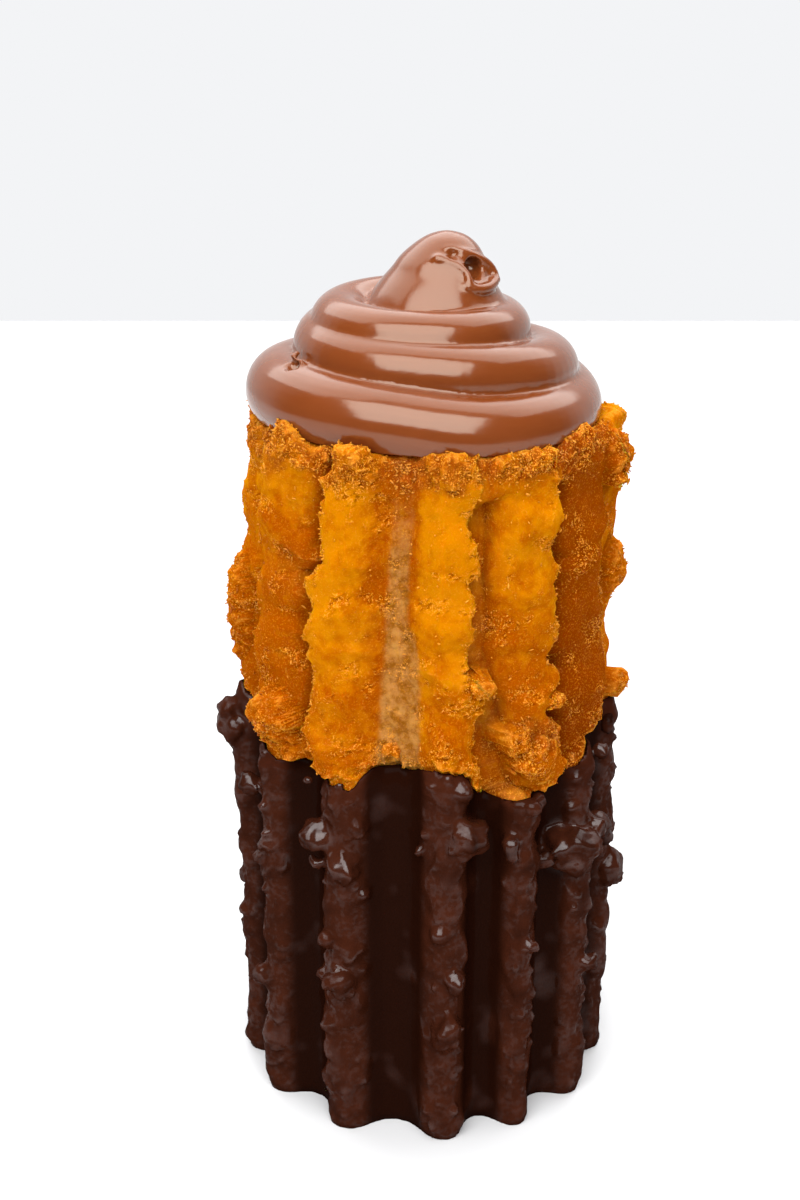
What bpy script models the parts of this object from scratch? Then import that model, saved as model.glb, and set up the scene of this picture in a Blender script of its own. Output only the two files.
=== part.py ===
"""A thick ribbed churro, standing on its dipped end.

The dough is a thirteen-ribbed bar. Its lower half wears a cup of dark chocolate, and a piped
swirl of chocolate cream sits on its top. Units are metres, +Z is up, the origin is the middle
of the foot, and angles are measured from the front (-Y) towards +X, in degrees.
"""

import math

import bmesh
import bpy
from mathutils import Vector, noise

# Dough: radii of the ribs' crests and of the valleys, inside the dip and above it
DIPPED_CREST = 0.0250
DIPPED_VALLEY = 0.0203
FRIED_CREST = 0.0250
FRIED_VALLEY = 0.0202
FOOT_SPREAD = 0.0012
DOUGH_TOP = 0.0962
TOP_INSET = 0.962
PUFF_HEIGHT = 0.0011

# Rib section: how far a rib widens into its valleys, and how upright its walls are
DIPPED_FILL = -0.03
FRIED_FILL = 0.27
OPEN_VALLEY_FILL = 0.17
DIPPED_SQUARENESS = 0.05
FRIED_SQUARENESS = 0.13

# Raggedness of the fried ribs: height of the bumps, sway of the walls in degrees, bump length
RAGGED_CREST = 0.0025
RAGGED_WALL = 5.5
RAGGED_LENGTH = 0.0052
RAGGED_AROUND = 3.1

# Fineness: columns in each rib and rings up each wall
RIB_COLUMNS = 10
FRIED_RINGS = 17
COAT_RINGS = 10

# The ribs that face the front: centre in the dip, centre above it, rib top, edge of the dip
FRONT_RIBS = (
    (-82.0, -78.0, 0.0960, 0.0590),
    (-57.0, -48.0, 0.0988, 0.0548),
    (-27.3, -24.0, 0.0976, 0.0532),
    (6.2, 2.5, 0.0972, 0.0562),
    (29.7, 27.0, 0.0968, 0.0506),
    (55.0, 50.0, 0.0975, 0.0520),
    (83.0, 80.0, 0.0964, 0.0560),
)
BACK_RIBS = 6
BACK_TOP = 0.0972
BACK_DIP_EDGE = 0.0555
BACK_UNEVENNESS = 0.0018
OPEN_VALLEY_RIB = 2

# Knobs of dough and of chocolate: angle, height, how far out, radius, stretch along the rib
DOUGH_KNOBS = (
    (-54.0, 0.0590, 0.0236, 0.0040, 0.95),
    (15.0, 0.0668, 0.0243, 0.0021, 1.2),
    (32.0, 0.0560, 0.0238, 0.0035, 1.1),
    (80.0, 0.0592, 0.0253, 0.0021, 0.8),
    (-79.0, 0.0712, 0.0243, 0.0028, 2.2),
    (80.0, 0.0762, 0.0243, 0.0022, 1.7),
    (70.0, 0.0925, 0.0247, 0.0026, 1.1),
    (141.0, 0.0720, 0.0240, 0.0036, 1.3),
    (197.0, 0.0880, 0.0242, 0.0030, 1.1),
    (224.0, 0.0640, 0.0240, 0.0038, 1.0),
)
CHOCOLATE_KNOBS = (
    (-84.0, 0.0525, 0.0262, 0.0026, 1.3),
    (-66.0, 0.0464, 0.0256, 0.0017, 0.8),
    (-56.0, 0.0400, 0.0259, 0.0014, 1.0),
    (-34.5, 0.0448, 0.0254, 0.0023, 0.8),
    (-25.0, 0.0414, 0.0260, 0.0019, 1.3),
    (-28.0, 0.0240, 0.0258, 0.0024, 0.9),
    (12.0, 0.0462, 0.0250, 0.0027, 1.0),
    (6.0, 0.0180, 0.0259, 0.0020, 1.5),
    (25.0, 0.0446, 0.0256, 0.0013, 0.9),
    (50.0, 0.0402, 0.0250, 0.0036, 0.9),
    (59.0, 0.0416, 0.0256, 0.0025, 0.8),
    (82.0, 0.0300, 0.0260, 0.0022, 1.2),
    (112.0, 0.0330, 0.0256, 0.0028, 1.2),
    (139.0, 0.0470, 0.0258, 0.0020, 1.0),
    (166.0, 0.0410, 0.0256, 0.0026, 1.0),
    (194.0, 0.0270, 0.0258, 0.0022, 1.3),
    (222.0, 0.0440, 0.0257, 0.0030, 1.0),
    (250.0, 0.0220, 0.0258, 0.0024, 1.0),
)
# Where the bar is slimmer: angle, reach in degrees, from this height, to this height, how much
TRIMS = (
    (-84.0, 26.0, 0.0755, 0.0800, 0.0011),
    (-84.0, 26.0, 0.0915, 0.0955, 0.0014),
)
KNOB_LUMPS = 0.32
KNOB_LIFT = 0.0010
KNOB_ROOT = 0.0006

# Chocolate dip
GAP = 0.0003
COAT_CREST = 0.0262
COAT_VALLEY = 0.0219
COAT_FILL = 0.08
COAT_FLOOR = 0.0016
COAT_LIP = 0.0005
COAT_WAVES = 0.0016
COAT_LEAST_WAVE = -0.12
COAT_VALLEY_WAVES = 0.4
COAT_WAVES_AROUND = 4.0
COAT_FOOT_BEVEL = 0.0008

# Swirl: stations along the piping, from the first on the left-hand side:
# turns, distance of the bead's middle from the axis, its height, radius of the bead
SWIRL_FOOT = DOUGH_TOP + GAP
SWIRL_STATIONS = (
    (-0.53, 0.0176, 0.0974, 0.0040),
    (-0.45, 0.0184, 0.0982, 0.0046),
    (-0.20, 0.0186, 0.0980, 0.0045),
    (0.00, 0.0181, 0.0972, 0.0043),
    (0.18, 0.0190, 0.0977, 0.0046),
    (0.29, 0.0180, 0.0990, 0.0047),
    (0.40, 0.0182, 0.0993, 0.0050),
    (0.50, 0.0184, 0.0991, 0.0050),
    (0.62, 0.0169, 0.0986, 0.0047),
    (0.75, 0.0158, 0.0996, 0.0044),
    (1.00, 0.0150, 0.1014, 0.0044),
    (1.25, 0.0139, 0.1040, 0.0040),
    (1.50, 0.0132, 0.1049, 0.0040),
    (1.75, 0.0115, 0.1058, 0.0039),
    (2.00, 0.0096, 0.1066, 0.0035),
    (2.25, 0.0106, 0.1076, 0.0036),
    (2.50, 0.0111, 0.1077, 0.0040),
    (2.75, 0.0080, 0.1078, 0.0040),
    (3.00, 0.0062, 0.1078, 0.0040),
)
# Cones that fill the middle of the swirl and make its pulled tip, which leans to the right:
# x, foot, its radius, top, its radius
SWIRL_CONES = (
    (0.0000, 0.0965, 0.0185, 0.1095, 0.0075),
    (0.0004, 0.1060, 0.0098, 0.1100, 0.0085),
    (0.0008, 0.1098, 0.0086, 0.1130, 0.0069),
    (0.0014, 0.1126, 0.0071, 0.1150, 0.0057),
    (0.0019, 0.1146, 0.0059, 0.1168, 0.0042),
    (0.0022, 0.1164, 0.0045, 0.1180, 0.0026),
    (0.0023, 0.1176, 0.0030, 0.1187, 0.0010),
)
# The fold where the tip curls over on its right: x, y, z, radius
TIP_FOLD = (
    (0.0058, -0.0030, 0.1152, 0.0014),
    (0.0072, -0.0024, 0.1140, 0.0016),
    (0.0070, -0.0034, 0.1128, 0.0014),
)
CONE_SIDES = 24
SWIRL_STEPS_A_TURN = 24
BEAD_SIDES = 5
SWIRL_VOXEL = 0.0007
SWIRL_KEEP = 0.115
CUTTER_SIZE = (0.08, 0.08, 0.02)

# Looks: colour, roughness
DOUGH_LOOK = ((0.72, 0.30, 0.025, 1.0), 0.5)
DIP_LOOK = ((0.035, 0.014, 0.009, 1.0), 0.25)
SWIRL_LOOK = ((0.26, 0.095, 0.045, 1.0), 0.2)


def all_ribs():
    """Every rib as (centre in the dip, centre above it, top, dip edge), round from the left."""
    ribs = list(FRONT_RIBS)
    last = ribs[-1]
    first = ribs[0]
    for index in range(1, BACK_RIBS + 1):
        share = index / (BACK_RIBS + 1)
        dipped = last[0] + share * (first[0] + 360 - last[0])
        fried = last[1] + share * (first[1] + 360 - last[1])
        wave = BACK_UNEVENNESS * noise.noise(Vector((2.3 * index, 4.7, 1.9)))
        ribs.append((dipped, fried, BACK_TOP + 0.5 * wave, BACK_DIP_EDGE + wave))
    return ribs


RIBS = all_ribs()
COLUMNS = RIB_COLUMNS * len(RIBS)


def rib_column(column, dip, fill, squareness):
    """Angle of a column of the wall, and its rise: 1 on a rib's crest, -1 in a valley."""
    rib, step = divmod(column % COLUMNS, RIB_COLUMNS)
    across = 2 * step / RIB_COLUMNS - 1
    kind = 0 if dip else 1
    centre = RIBS[rib][kind]
    beside = RIBS[(rib + (1 if across > 0 else -1)) % len(RIBS)][kind]
    half_gap = ((beside - centre + 180) % 360 - 180) / 2
    turn = abs(across)
    spread = turn + squareness * math.sin(2 * math.pi * turn) + fill * math.sin(math.pi * turn)
    return centre + half_gap * spread, math.cos(math.pi * across)


def along_ribs(angle, kind):
    """A height of the ribs, 2 their top and 3 the dip's edge, blended from rib to rib."""
    for index, rib in enumerate(RIBS):
        beside = RIBS[(index + 1) % len(RIBS)]
        span = (beside[1] - rib[1]) % 360
        place = (angle - rib[1]) % 360
        if place <= span:
            share = place / span
            share = share * share * (3 - 2 * share)
            return rib[kind] + share * (beside[kind] - rib[kind])
    return RIBS[0][kind]


def dip_edge(angle):
    """Height of the edge of the chocolate at an angle."""
    return along_ribs(angle, 3)


def point_at(angle, radius, height):
    """A point from its angle, its distance from the axis and its height."""
    turn = math.radians(angle)
    return Vector((radius * math.sin(turn), -radius * math.cos(turn), height))


def grown(points, distance):
    """A closed outline in plan, moved outwards by a distance along its own normals."""
    count = len(points)
    moved = []
    for index, point in enumerate(points):
        before = (point - points[index - 1]).normalized()
        after = (points[(index + 1) % count] - point).normalized()
        along = (before + after).normalized()
        outward = Vector((along.y, -along.x, 0))
        moved.append(point + outward * distance / max(along.dot(before), 0.5))
    return moved


def dipped_outline():
    """Plan of the dough inside the dip, where its wall is straight."""
    middle = (DIPPED_CREST + DIPPED_VALLEY) / 2
    swing = (DIPPED_CREST - DIPPED_VALLEY) / 2
    points = []
    for column in range(COLUMNS):
        angle, rise = rib_column(column, True, DIPPED_FILL, DIPPED_SQUARENESS)
        points.append(point_at(angle, middle + swing * rise, 0))
    return points


def smooth(value, low, high):
    """0 below low, 1 above high, smooth between."""
    share = min(max((value - low) / (high - low), 0.0), 1.0)
    return share * share * (3 - 2 * share)


def fried_point(column, share):
    """A point of the puffed, ragged dough above the dip: share 0 at the dip, 1 at the top."""
    rib, step = divmod(column, RIB_COLUMNS)
    right_half = step > RIB_COLUMNS // 2
    beside_open = (rib == OPEN_VALLEY_RIB and right_half) or (
        rib == OPEN_VALLEY_RIB + 1 and not right_half
    )
    fill = OPEN_VALLEY_FILL if beside_open else FRIED_FILL
    drift = (1 - share) ** 2
    above, rise = rib_column(column, False, fill, FRIED_SQUARENESS)
    below, _ = rib_column(column, True, fill, FRIED_SQUARENESS)
    angle = above + drift * ((below - above + 180) % 360 - 180)
    edge = dip_edge(angle) + PUFF_HEIGHT
    crown = max(0.0, 2 * rise - 1) * (along_ribs(angle, 2) - DOUGH_TOP)
    height = edge + share * (DOUGH_TOP + crown - edge)
    wall = 1 - abs(rise)
    spot = point_at(angle, RAGGED_AROUND, height / RAGGED_LENGTH)
    angle += RAGGED_WALL * wall * noise.noise(spot + Vector((7.1, 0, 0)))
    middle = (FRIED_CREST + FRIED_VALLEY) / 2 + FOOT_SPREAD * drift
    swing = (FRIED_CREST - FRIED_VALLEY) / 2
    radius = middle + swing * rise
    radius += RAGGED_CREST * (1 + rise) / 2 * noise.noise(spot)
    for trimmed, reach, start, end, depth in TRIMS:
        beside = abs((angle - trimmed + 180) % 360 - 180)
        radius -= depth * (1 - smooth(beside, reach / 2, reach)) * smooth(height, start, end)
    return point_at(angle, radius, height)


def grow_rings(bm, rings, place):
    """A closed body: a disc is extruded once a ring, and place(column, ring) moves its points."""
    number = bm.verts.layers.int.new("column")
    made = bmesh.ops.create_circle(bm, cap_ends=True, segments=COLUMNS, radius=1)
    for index, vert in enumerate(made["verts"]):
        vert[number] = index
    cap = bm.faces[:][0]
    for ring in range(rings):
        if ring:
            cap = bmesh.ops.extrude_discrete_faces(bm, faces=[cap])["faces"][0]
        for vert in cap.verts:
            vert.co = place(vert[number], ring)
    bmesh.ops.holes_fill(bm, edges=[edge for edge in bm.edges if edge.is_boundary], sides=0)
    bmesh.ops.recalc_face_normals(bm, faces=bm.faces)


def new_material(name, look):
    colour, roughness = look
    material = bpy.data.materials.new(name)
    material.use_nodes = True
    shader = material.node_tree.nodes["Principled BSDF"]
    shader.inputs["Base Color"].default_value = colour
    shader.inputs["Roughness"].default_value = roughness
    shader.inputs["Metallic"].default_value = 0.0
    material.diffuse_color = colour
    return material


def mesh_object(name, bm, collection, material=None):
    mesh = bpy.data.meshes.new(name)
    bm.to_mesh(mesh)
    bm.free()
    item = bpy.data.objects.new(name, mesh)
    collection.objects.link(item)
    if material:
        mesh.materials.append(material)
        mesh.shade_smooth()
    return item


def above_dip(point):
    """Dough stays clear of the chocolate: a point below the dip's edge is lifted over it."""
    angle = math.degrees(math.atan2(point.x, -point.y))
    return Vector((point.x, point.y, max(point.z, dip_edge(angle) + KNOB_LIFT)))


def outside_dough(point):
    """Chocolate stays clear of the dough: a point is held in the cup's wall and under its edge."""
    angle = math.degrees(math.atan2(point.x, -point.y))
    turns = [(rib_column(column, True, COAT_FILL, DIPPED_SQUARENESS)) for column in range(COLUMNS)]
    rise = min(turns, key=lambda turn: abs((turn[0] - angle + 180) % 360 - 180))[1]
    middle = (COAT_CREST + COAT_VALLEY) / 2
    swing = (COAT_CREST - COAT_VALLEY) / 2
    radius = math.hypot(point.x, point.y)
    held = max(radius, middle + swing * rise - KNOB_ROOT) / radius
    height = min(point.z, dip_edge(angle) - COAT_LIP)
    return Vector((point.x * held, point.y * held, height))


def fuse_knobs(body, knobs, name, keep_clear):
    """Lumpy balls are set on the ribs and joined to the body by one Boolean union."""
    helpers = bpy.data.collections.new(name)
    bpy.context.scene.collection.children.link(helpers)
    for index, (angle, height, out, radius, stretch) in enumerate(knobs):
        bm = bmesh.new()
        bmesh.ops.create_icosphere(bm, subdivisions=2, radius=1)
        for vert in bm.verts:
            lump = 1 + KNOB_LUMPS * noise.noise(1.3 * vert.co + Vector((5.7 * index, 0, 0)))
            across = vert.co * lump * radius
            vert.co = Vector((across.x, across.y, across.z * stretch))
        bmesh.ops.translate(bm, vec=point_at(angle, out, height), verts=bm.verts)
        for vert in bm.verts:
            vert.co = keep_clear(vert.co)
        mesh_object(f"{name}_{index}", bm, helpers)
    union = body.modifiers.new("Knobs", "BOOLEAN")
    union.operation = "UNION"
    union.operand_type = "COLLECTION"
    union.collection = helpers
    union.solver = "EXACT"
    graph = bpy.context.evaluated_depsgraph_get()
    fused = bpy.data.meshes.new_from_object(body.evaluated_get(graph))
    plain = body.data
    body.modifiers.clear()
    body.data = fused
    bpy.data.meshes.remove(plain)
    for helper in list(helpers.objects):
        bpy.data.objects.remove(helper)
    bpy.data.collections.remove(helpers)


def make_dough(collection):
    """The ribbed bar: straight inside the dip, puffed and ragged above it, flat on top."""
    dipped = dipped_outline()
    last_wall = 2 + FRIED_RINGS

    def place(column, ring):
        plan = dipped[column]
        if ring == 0:
            return plan + Vector((0, 0, COAT_FLOOR + GAP))
        if ring == 1:
            angle = math.degrees(math.atan2(plan.x, -plan.y))
            return plan + Vector((0, 0, dip_edge(angle) + GAP))
        if ring < last_wall:
            return fried_point(column, (ring - 2) / (FRIED_RINGS - 1))
        tip = fried_point(column, 1.0)
        return Vector((tip.x * TOP_INSET, tip.y * TOP_INSET, DOUGH_TOP))

    bm = bmesh.new()
    grow_rings(bm, last_wall + 1, place)
    dough = mesh_object("dough", bm, collection, new_material("fried dough", DOUGH_LOOK))
    fuse_knobs(dough, DOUGH_KNOBS, "dough_knobs", above_dip)


def make_dip(collection):
    """The cup of dark chocolate: foot, ribbed outer wall, uneven lip, inner wall and floor."""
    inner = grown(dipped_outline(), GAP)
    middle = (COAT_CREST + COAT_VALLEY) / 2
    swing = (COAT_CREST - COAT_VALLEY) / 2

    def place(column, ring):
        angle, rise = rib_column(column, True, COAT_FILL, DIPPED_SQUARENESS)
        radius = middle + swing * rise
        if ring == 0:
            return point_at(angle, radius - COAT_FOOT_BEVEL, 0)
        if ring <= COAT_RINGS:
            share = (ring - 1) / (COAT_RINGS - 1)
            low = COAT_FOOT_BEVEL
            height = low + share * (dip_edge(angle) - COAT_LIP - low)
            spot = point_at(angle, COAT_WAVES_AROUND, height / RAGGED_LENGTH)
            share = COAT_VALLEY_WAVES + (1 - COAT_VALLEY_WAVES) * rise**2
            wave = COAT_WAVES * share * max(noise.noise(spot), COAT_LEAST_WAVE)
            return point_at(angle, radius + wave, height)
        plan = inner[column]
        if ring == COAT_RINGS + 1:
            turn = math.degrees(math.atan2(plan.x, -plan.y))
            return plan + Vector((0, 0, dip_edge(turn)))
        return plan + Vector((0, 0, COAT_FLOOR))

    bm = bmesh.new()
    grow_rings(bm, COAT_RINGS + 3, place)
    dip = mesh_object("chocolate_dip", bm, collection, new_material("dark chocolate", DIP_LOOK))
    fuse_knobs(dip, CHOCOLATE_KNOBS, "chocolate_knobs", outside_dough)


def blend_rows(rows, index, share):
    """A smooth curve through rows of values, read between a row and the next."""
    last = len(rows) - 1
    ends = [rows[min(max(index + step, 0), last)] for step in (-1, 0, 1, 2)]
    values = []
    for a, b, c, d in zip(*ends):
        bend = 2 * b + (c - a) * share
        bend += (2 * a - 5 * b + 4 * c - d) * share**2 + (3 * b - a - 3 * c + d) * share**3
        values.append(bend / 2)
    return values


def swirl_route():
    """Middle points and radii of the piped bead, from its start to its end under the tip."""
    route = []
    for index in range(len(SWIRL_STATIONS) - 1):
        turns = SWIRL_STATIONS[index + 1][0] - SWIRL_STATIONS[index][0]
        steps = max(2, round(SWIRL_STEPS_A_TURN * turns))
        for step in range(steps):
            turns, out, height, radius = blend_rows(SWIRL_STATIONS, index, step / steps)
            route.append((*point_at(90 - 360 * turns, out, height), radius))
    turns, out, height, radius = SWIRL_STATIONS[-1]
    route.append((*point_at(90 - 360 * turns, out, height), radius))
    return route


def make_swirl(collection, cutters):
    """The piped swirl: a thick bead wound into a cone, its turns melted together."""
    curve = bpy.data.curves.new("bead", "CURVE")
    curve.dimensions = "3D"
    curve.bevel_depth = 1.0
    curve.bevel_resolution = BEAD_SIDES
    curve.use_fill_caps = True
    spline = curve.splines.new("POLY")
    route = swirl_route()
    spline.points.add(len(route) - 1)
    for point, (x, y, z, radius) in zip(spline.points, route):
        point.co = (x, y, z, 1.0)
        point.radius = radius
    bead = bpy.data.objects.new("bead", curve)
    bpy.context.scene.collection.objects.link(bead)
    graph = bpy.context.evaluated_depsgraph_get()
    mesh = bpy.data.meshes.new_from_object(bead.evaluated_get(graph))
    bpy.data.objects.remove(bead)
    bpy.data.curves.remove(curve)

    bm = bmesh.new()
    bm.from_mesh(mesh)
    bpy.data.meshes.remove(mesh)
    bmesh.ops.remove_doubles(bm, verts=bm.verts, dist=0.00001)
    for across, foot, wide, top, narrow in SWIRL_CONES:
        cone = bmesh.ops.create_cone(
            bm,
            cap_ends=True,
            segments=CONE_SIDES,
            radius1=wide,
            radius2=narrow,
            depth=top - foot,
        )
        bmesh.ops.translate(bm, vec=(across, 0, (top + foot) / 2), verts=cone["verts"])
    for x, y, z, radius in (route[0], route[-1], *TIP_FOLD):
        ball = bmesh.ops.create_icosphere(bm, subdivisions=2, radius=radius)
        bmesh.ops.translate(bm, vec=(x, y, z), verts=ball["verts"])
    swirl = mesh_object(
        "chocolate_swirl", bm, collection, new_material("chocolate cream", SWIRL_LOOK)
    )
    melt = swirl.modifiers.new("Melt", "REMESH")
    melt.mode = "VOXEL"
    melt.voxel_size = SWIRL_VOXEL
    settle = swirl.modifiers.new("Settle", "SMOOTH")
    settle.factor = 0.5
    settle.iterations = 2
    thin = swirl.modifiers.new("Fewer faces", "DECIMATE")
    thin.ratio = SWIRL_KEEP

    bm = bmesh.new()
    bmesh.ops.create_cube(bm, size=1.0)
    bmesh.ops.scale(bm, vec=CUTTER_SIZE, verts=bm.verts)
    bmesh.ops.translate(bm, vec=(0, 0, SWIRL_FOOT - CUTTER_SIZE[2] / 2), verts=bm.verts)
    cutter = mesh_object("swirl_foot_cutter", bm, cutters)
    cutter.hide_render = True
    cutter.display_type = "WIRE"
    flat = swirl.modifiers.new("Flat foot", "BOOLEAN")
    flat.operation = "DIFFERENCE"
    flat.object = cutter
    flat.solver = "EXACT"


def main():
    for item in list(bpy.data.objects):
        bpy.data.objects.remove(item)
    scene = bpy.context.scene
    churro = bpy.data.collections.new("churro")
    cutters = bpy.data.collections.new("cutters")
    scene.collection.children.link(churro)
    scene.collection.children.link(cutters)
    make_dough(churro)
    make_dip(churro)
    make_swirl(churro, cutters)


main()
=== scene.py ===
"""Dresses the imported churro: fried dough, dark chocolate dip, piped chocolate cream, stage.

Units are metres, +Z is up, and angles are measured from the front (-Y) towards +X, in degrees.
"""

import math

import bmesh
import bpy
import numpy as np
from bpy.props import FloatProperty, FloatVectorProperty, IntProperty, PointerProperty
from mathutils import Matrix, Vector, noise


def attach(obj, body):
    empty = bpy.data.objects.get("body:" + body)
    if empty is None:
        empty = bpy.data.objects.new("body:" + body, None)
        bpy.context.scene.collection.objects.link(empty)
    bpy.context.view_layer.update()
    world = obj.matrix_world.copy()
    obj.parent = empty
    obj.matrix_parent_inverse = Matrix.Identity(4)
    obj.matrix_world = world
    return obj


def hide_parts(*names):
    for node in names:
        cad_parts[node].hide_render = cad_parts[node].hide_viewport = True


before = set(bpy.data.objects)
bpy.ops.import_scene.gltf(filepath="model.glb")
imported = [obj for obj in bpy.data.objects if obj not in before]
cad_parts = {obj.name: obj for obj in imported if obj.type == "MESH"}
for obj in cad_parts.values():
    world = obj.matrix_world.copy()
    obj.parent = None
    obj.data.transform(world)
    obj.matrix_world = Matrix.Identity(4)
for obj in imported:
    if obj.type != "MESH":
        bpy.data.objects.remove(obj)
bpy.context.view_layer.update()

bl_info = {
    "name": "Dipped churro",
    "version": (1, 0, 0),
    "blender": (4, 5, 0),
    "location": "View3D > Sidebar > Churro",
    "description": "A ribbed churro dipped in dark chocolate, with a piped chocolate cream swirl",
    "category": "Add Mesh",
}

BODY = "root"

# The bar inside the chocolate: its radii, how its ribs differ from a plain wave, and their steps
DIPPED_CREST = 0.025
DIPPED_VALLEY = 0.0203
DIPPED_FILL = -0.03
DIPPED_SQUARENESS = 0.05
RIB_COLUMNS = 10
# Heights of the dough's foot, of its first free ring and of the creases' top, how far its rows
# run past that top, and how many they are
DOUGH_FOOT = 0.0019
DOUGH_LOW = 0.0465
DOUGH_TOP = 0.0962
DOUGH_PAST_TOP = 0.0008
DOUGH_ROWS = 158
# Room between the dough and the cup of chocolate
GAP = 0.0003

# The ribs that face the front: centre in the dip, centre above it, height of the top
FRONT_RIBS = (
    (-82, -78, 0.096), (-57, -48, 0.0988), (-27.3, -24, 0.0976), (6.2, 2.5, 0.0972),
    (29.7, 27, 0.0968), (55, 50, 0.0975), (83, 80, 0.0964),
)
# How many ribs there are behind, and the height of their tops
BACK_RIBS = 6
BACK_TOP = 0.0972
# Angles run from here, once round
FIRST_ANGLE = -96

# Edges of the fried ribs, rib by rib: angle and height in millimetres, from the top down
LEFT_EDGES = {
    1: (
        (-50.4, 99.3), (-53.5, 95.8), (-58.1, 92.7), (-58.4, 90.1), (-63.4, 86.8), (-64.4, 84.6),
        (-62.7, 81.5), (-61.6, 78.9), (-65.2, 74.3), (-65.3, 70.8), (-67, 60), (-67, 54),
    ),
    2: (
        (-29.4, 96.6), (-29, 94.1), (-30.8, 92.8), (-33.7, 90), (-35.3, 86), (-33.4, 82.3),
        (-37.1, 80.9), (-40.5, 79.6), (-39.7, 78.3), (-37.1, 76.6), (-38.6, 74.7), (-41.3, 73.2),
        (-40.5, 72.2), (-37.7, 71.1), (-39.8, 69.8), (-38.1, 65.6), (-39.9, 62.5), (-41.8, 58.3),
        (-39.1, 57.7), (-38, 55.7), (-37.3, 53.6), (-33.5, 52),
    ),
    3: (
        (-2.2, 96), (-3, 93.9), (-4.8, 91.4), (-5, 88.8), (-6.2, 85.7), (-7.4, 80), (-7.4, 77),
        (-5.8, 73.3), (-4.1, 70.6), (-4.1, 65.2), (-3.7, 61), (-3.6, 56.9), (-1.9, 55.2),
    ),
    4: (
        (17, 93.5), (17.7, 91), (18, 85.9), (17.6, 80.8), (19.4, 75.4), (18, 71.5), (19.8, 67.3),
        (23.4, 62.4), (24.2, 57.8), (26, 54), (29.7, 50.6),
    ),
}
RIGHT_EDGES = {
    2: (
        (-12, 96.5), (-12.6, 93), (-13, 88), (-13.5, 83), (-14.5, 78), (-15.2, 72), (-16.5, 65),
        (-17, 59), (-18.5, 55.6), (-21.5, 52.8),
    ),
    3: (
        (13.8, 96.8), (14.3, 93.3), (12.3, 89.9), (12.9, 86.1), (14.6, 83.5), (12.3, 81),
        (13.6, 78.3), (12.1, 74.4), (11.8, 70.4), (10.5, 69.2), (16.8, 67.2), (17.9, 65.8),
        (16, 64.3), (13.5, 60.7), (13.5, 57.9), (16.2, 55.7), (16.8, 53.5),
    ),
    4: (
        (39.3, 93.3), (41.6, 89.3), (42.3, 88.2), (40.6, 86.8), (39.2, 84.3), (43.2, 81),
        (41, 79.5), (42.7, 77.3), (41.6, 74.7), (42.9, 71.6), (39.7, 68.8), (44.3, 66.9),
        (45.5, 65.6), (40.1, 64.4), (37.3, 62.6), (37.6, 60.8), (44.3, 58.7), (44.7, 56.2),
        (46, 53.1), (43.6, 51.3), (41.7, 49.4),
    ),
    5: (
        (70, 90), (69, 84.7), (63.6, 82.9), (63.3, 80.9), (63.9, 78.8), (65.1, 76.5), (72, 71.6),
        (74, 64.9), (74, 62.7), (72.2, 56.5),
    ),
}
# Creases, in degrees: width beside a measured edge; behind, half their width, how they sway, and
# what share of that width comes and goes
CREASE_BESIDE = 2.4
BACK_CREASE = 1.3
BACK_CREASE_SWAY = 3
BACK_CREASE_WIDENS = 0.9
# Sizes of the noise that sways and widens the creases, tears the lips and swells the ribs
SWAY_SIZE = 0.0045
WIDEN_SIZE = 0.006
TEAR_SIZES = (0.0029, 0.0013)
SWELL_SIZE = 0.0055
# How far the lips are torn, in degrees, and the share of a rib that belongs to its torn side
TEAR = 0.95
TORN_SHARE = 0.36
# The torn lip: its place and width across a rib, and the rise over which it starts
LIP = (0.03, 0.07)
LIP_RISE = (0.3, 0.6)
# Rises at which a rib turns golden and is fully so, and the latter beside the open crumb
# Partly painted light: crests lighter than their flanks, and lit lower down beside the open crumb
GOLD_RISE = (0.28, 0.92)
GOLD_BY_CRUMB = 0.6
# How much a rib swells on its torn side and in its middle
SWELLS = (0.22, 0.7)
# How far across a rib its long slope reaches down to the open crumb
SLOPE_END = 0.92
# The dough takes its own shape within this height above the chocolate's edge
OUT_OF_DIP = 0.001

# Which side of each rib is torn steep: -1 its left, 1 its right
LEANS = (-1, -1, -1, 1, 1, 1, 1, 1, -1, 1, -1, 1, -1)
# How golden each rib is, below 0 for browned and, on the sixth rib, for painted shade, as it lies
# in the fifth rib's shadow: at its top, at its bottom, how far up it changes
TONES = (
    (0.55, -0.3, 0.6), (1.15, -0.15, 0.84), (0.98, 0.1, 0.45), (0.98, 0.3, 0.45),
    (0.72, -0.1, 0.5), (-0.75, -1, 0.45), (1, 0, 0.92), (0.45, 0.25, 0.45), (0.75, 0.45, 0.6),
    (0.9, 0.6, 0.45), (0.55, 0.3, 0.6), (0.8, 0.55, 0.45), (0.6, 0.3, 0.45),
)
# Section of a rib from its torn side: share of the way across, share of the way out
SECTION = (
    (0, 0), (0.03, 0.14), (0.045, 0.36), (0.018, 0.6), (0.028, 0.8), (0.08, 0.92), (0.17, 0.985),
    (0.28, 1), (0.42, 0.965), (0.56, 0.885), (0.69, 0.77), (0.8, 0.64), (0.89, 0.48),
    (0.95, 0.27), (1, 0),
)
# Usual width and rise of a rib, which space the steps along its section
RIB_WIDTH = 0.0084
RIB_RISE = 0.0045
# How much the steep wall counts there, and the steps across a rib and across a crease
WALL_SHARE = 0.6
RIB_STEPS = 36
VALLEY_STEPS = 4
# The crease of open crumb comes after this rib, and another lies behind, at this angle
PALE_CREASE = 2
PALE_BEHIND = 152
# Where its paleness starts and ends round its left edge, its right edge and behind, in degrees,
# the heights over which it goes, and the share that stays above
PALE_LEFT = (-1, 2.4)
PALE_RIGHT = (-0.8, 2)
PALE_BACK = (2, 5)
PALE_HEIGHTS = (0.078, 0.094)
PALE_ABOVE = 0.25
# How pale the creases after these ribs are, and how shallow
PALE_CREASES = {2: 1, 3: 0.22}
CREASE_FLOORS = {2: 0.32, 3: 0.3}
CREASE_FLOOR = 0.12
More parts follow.
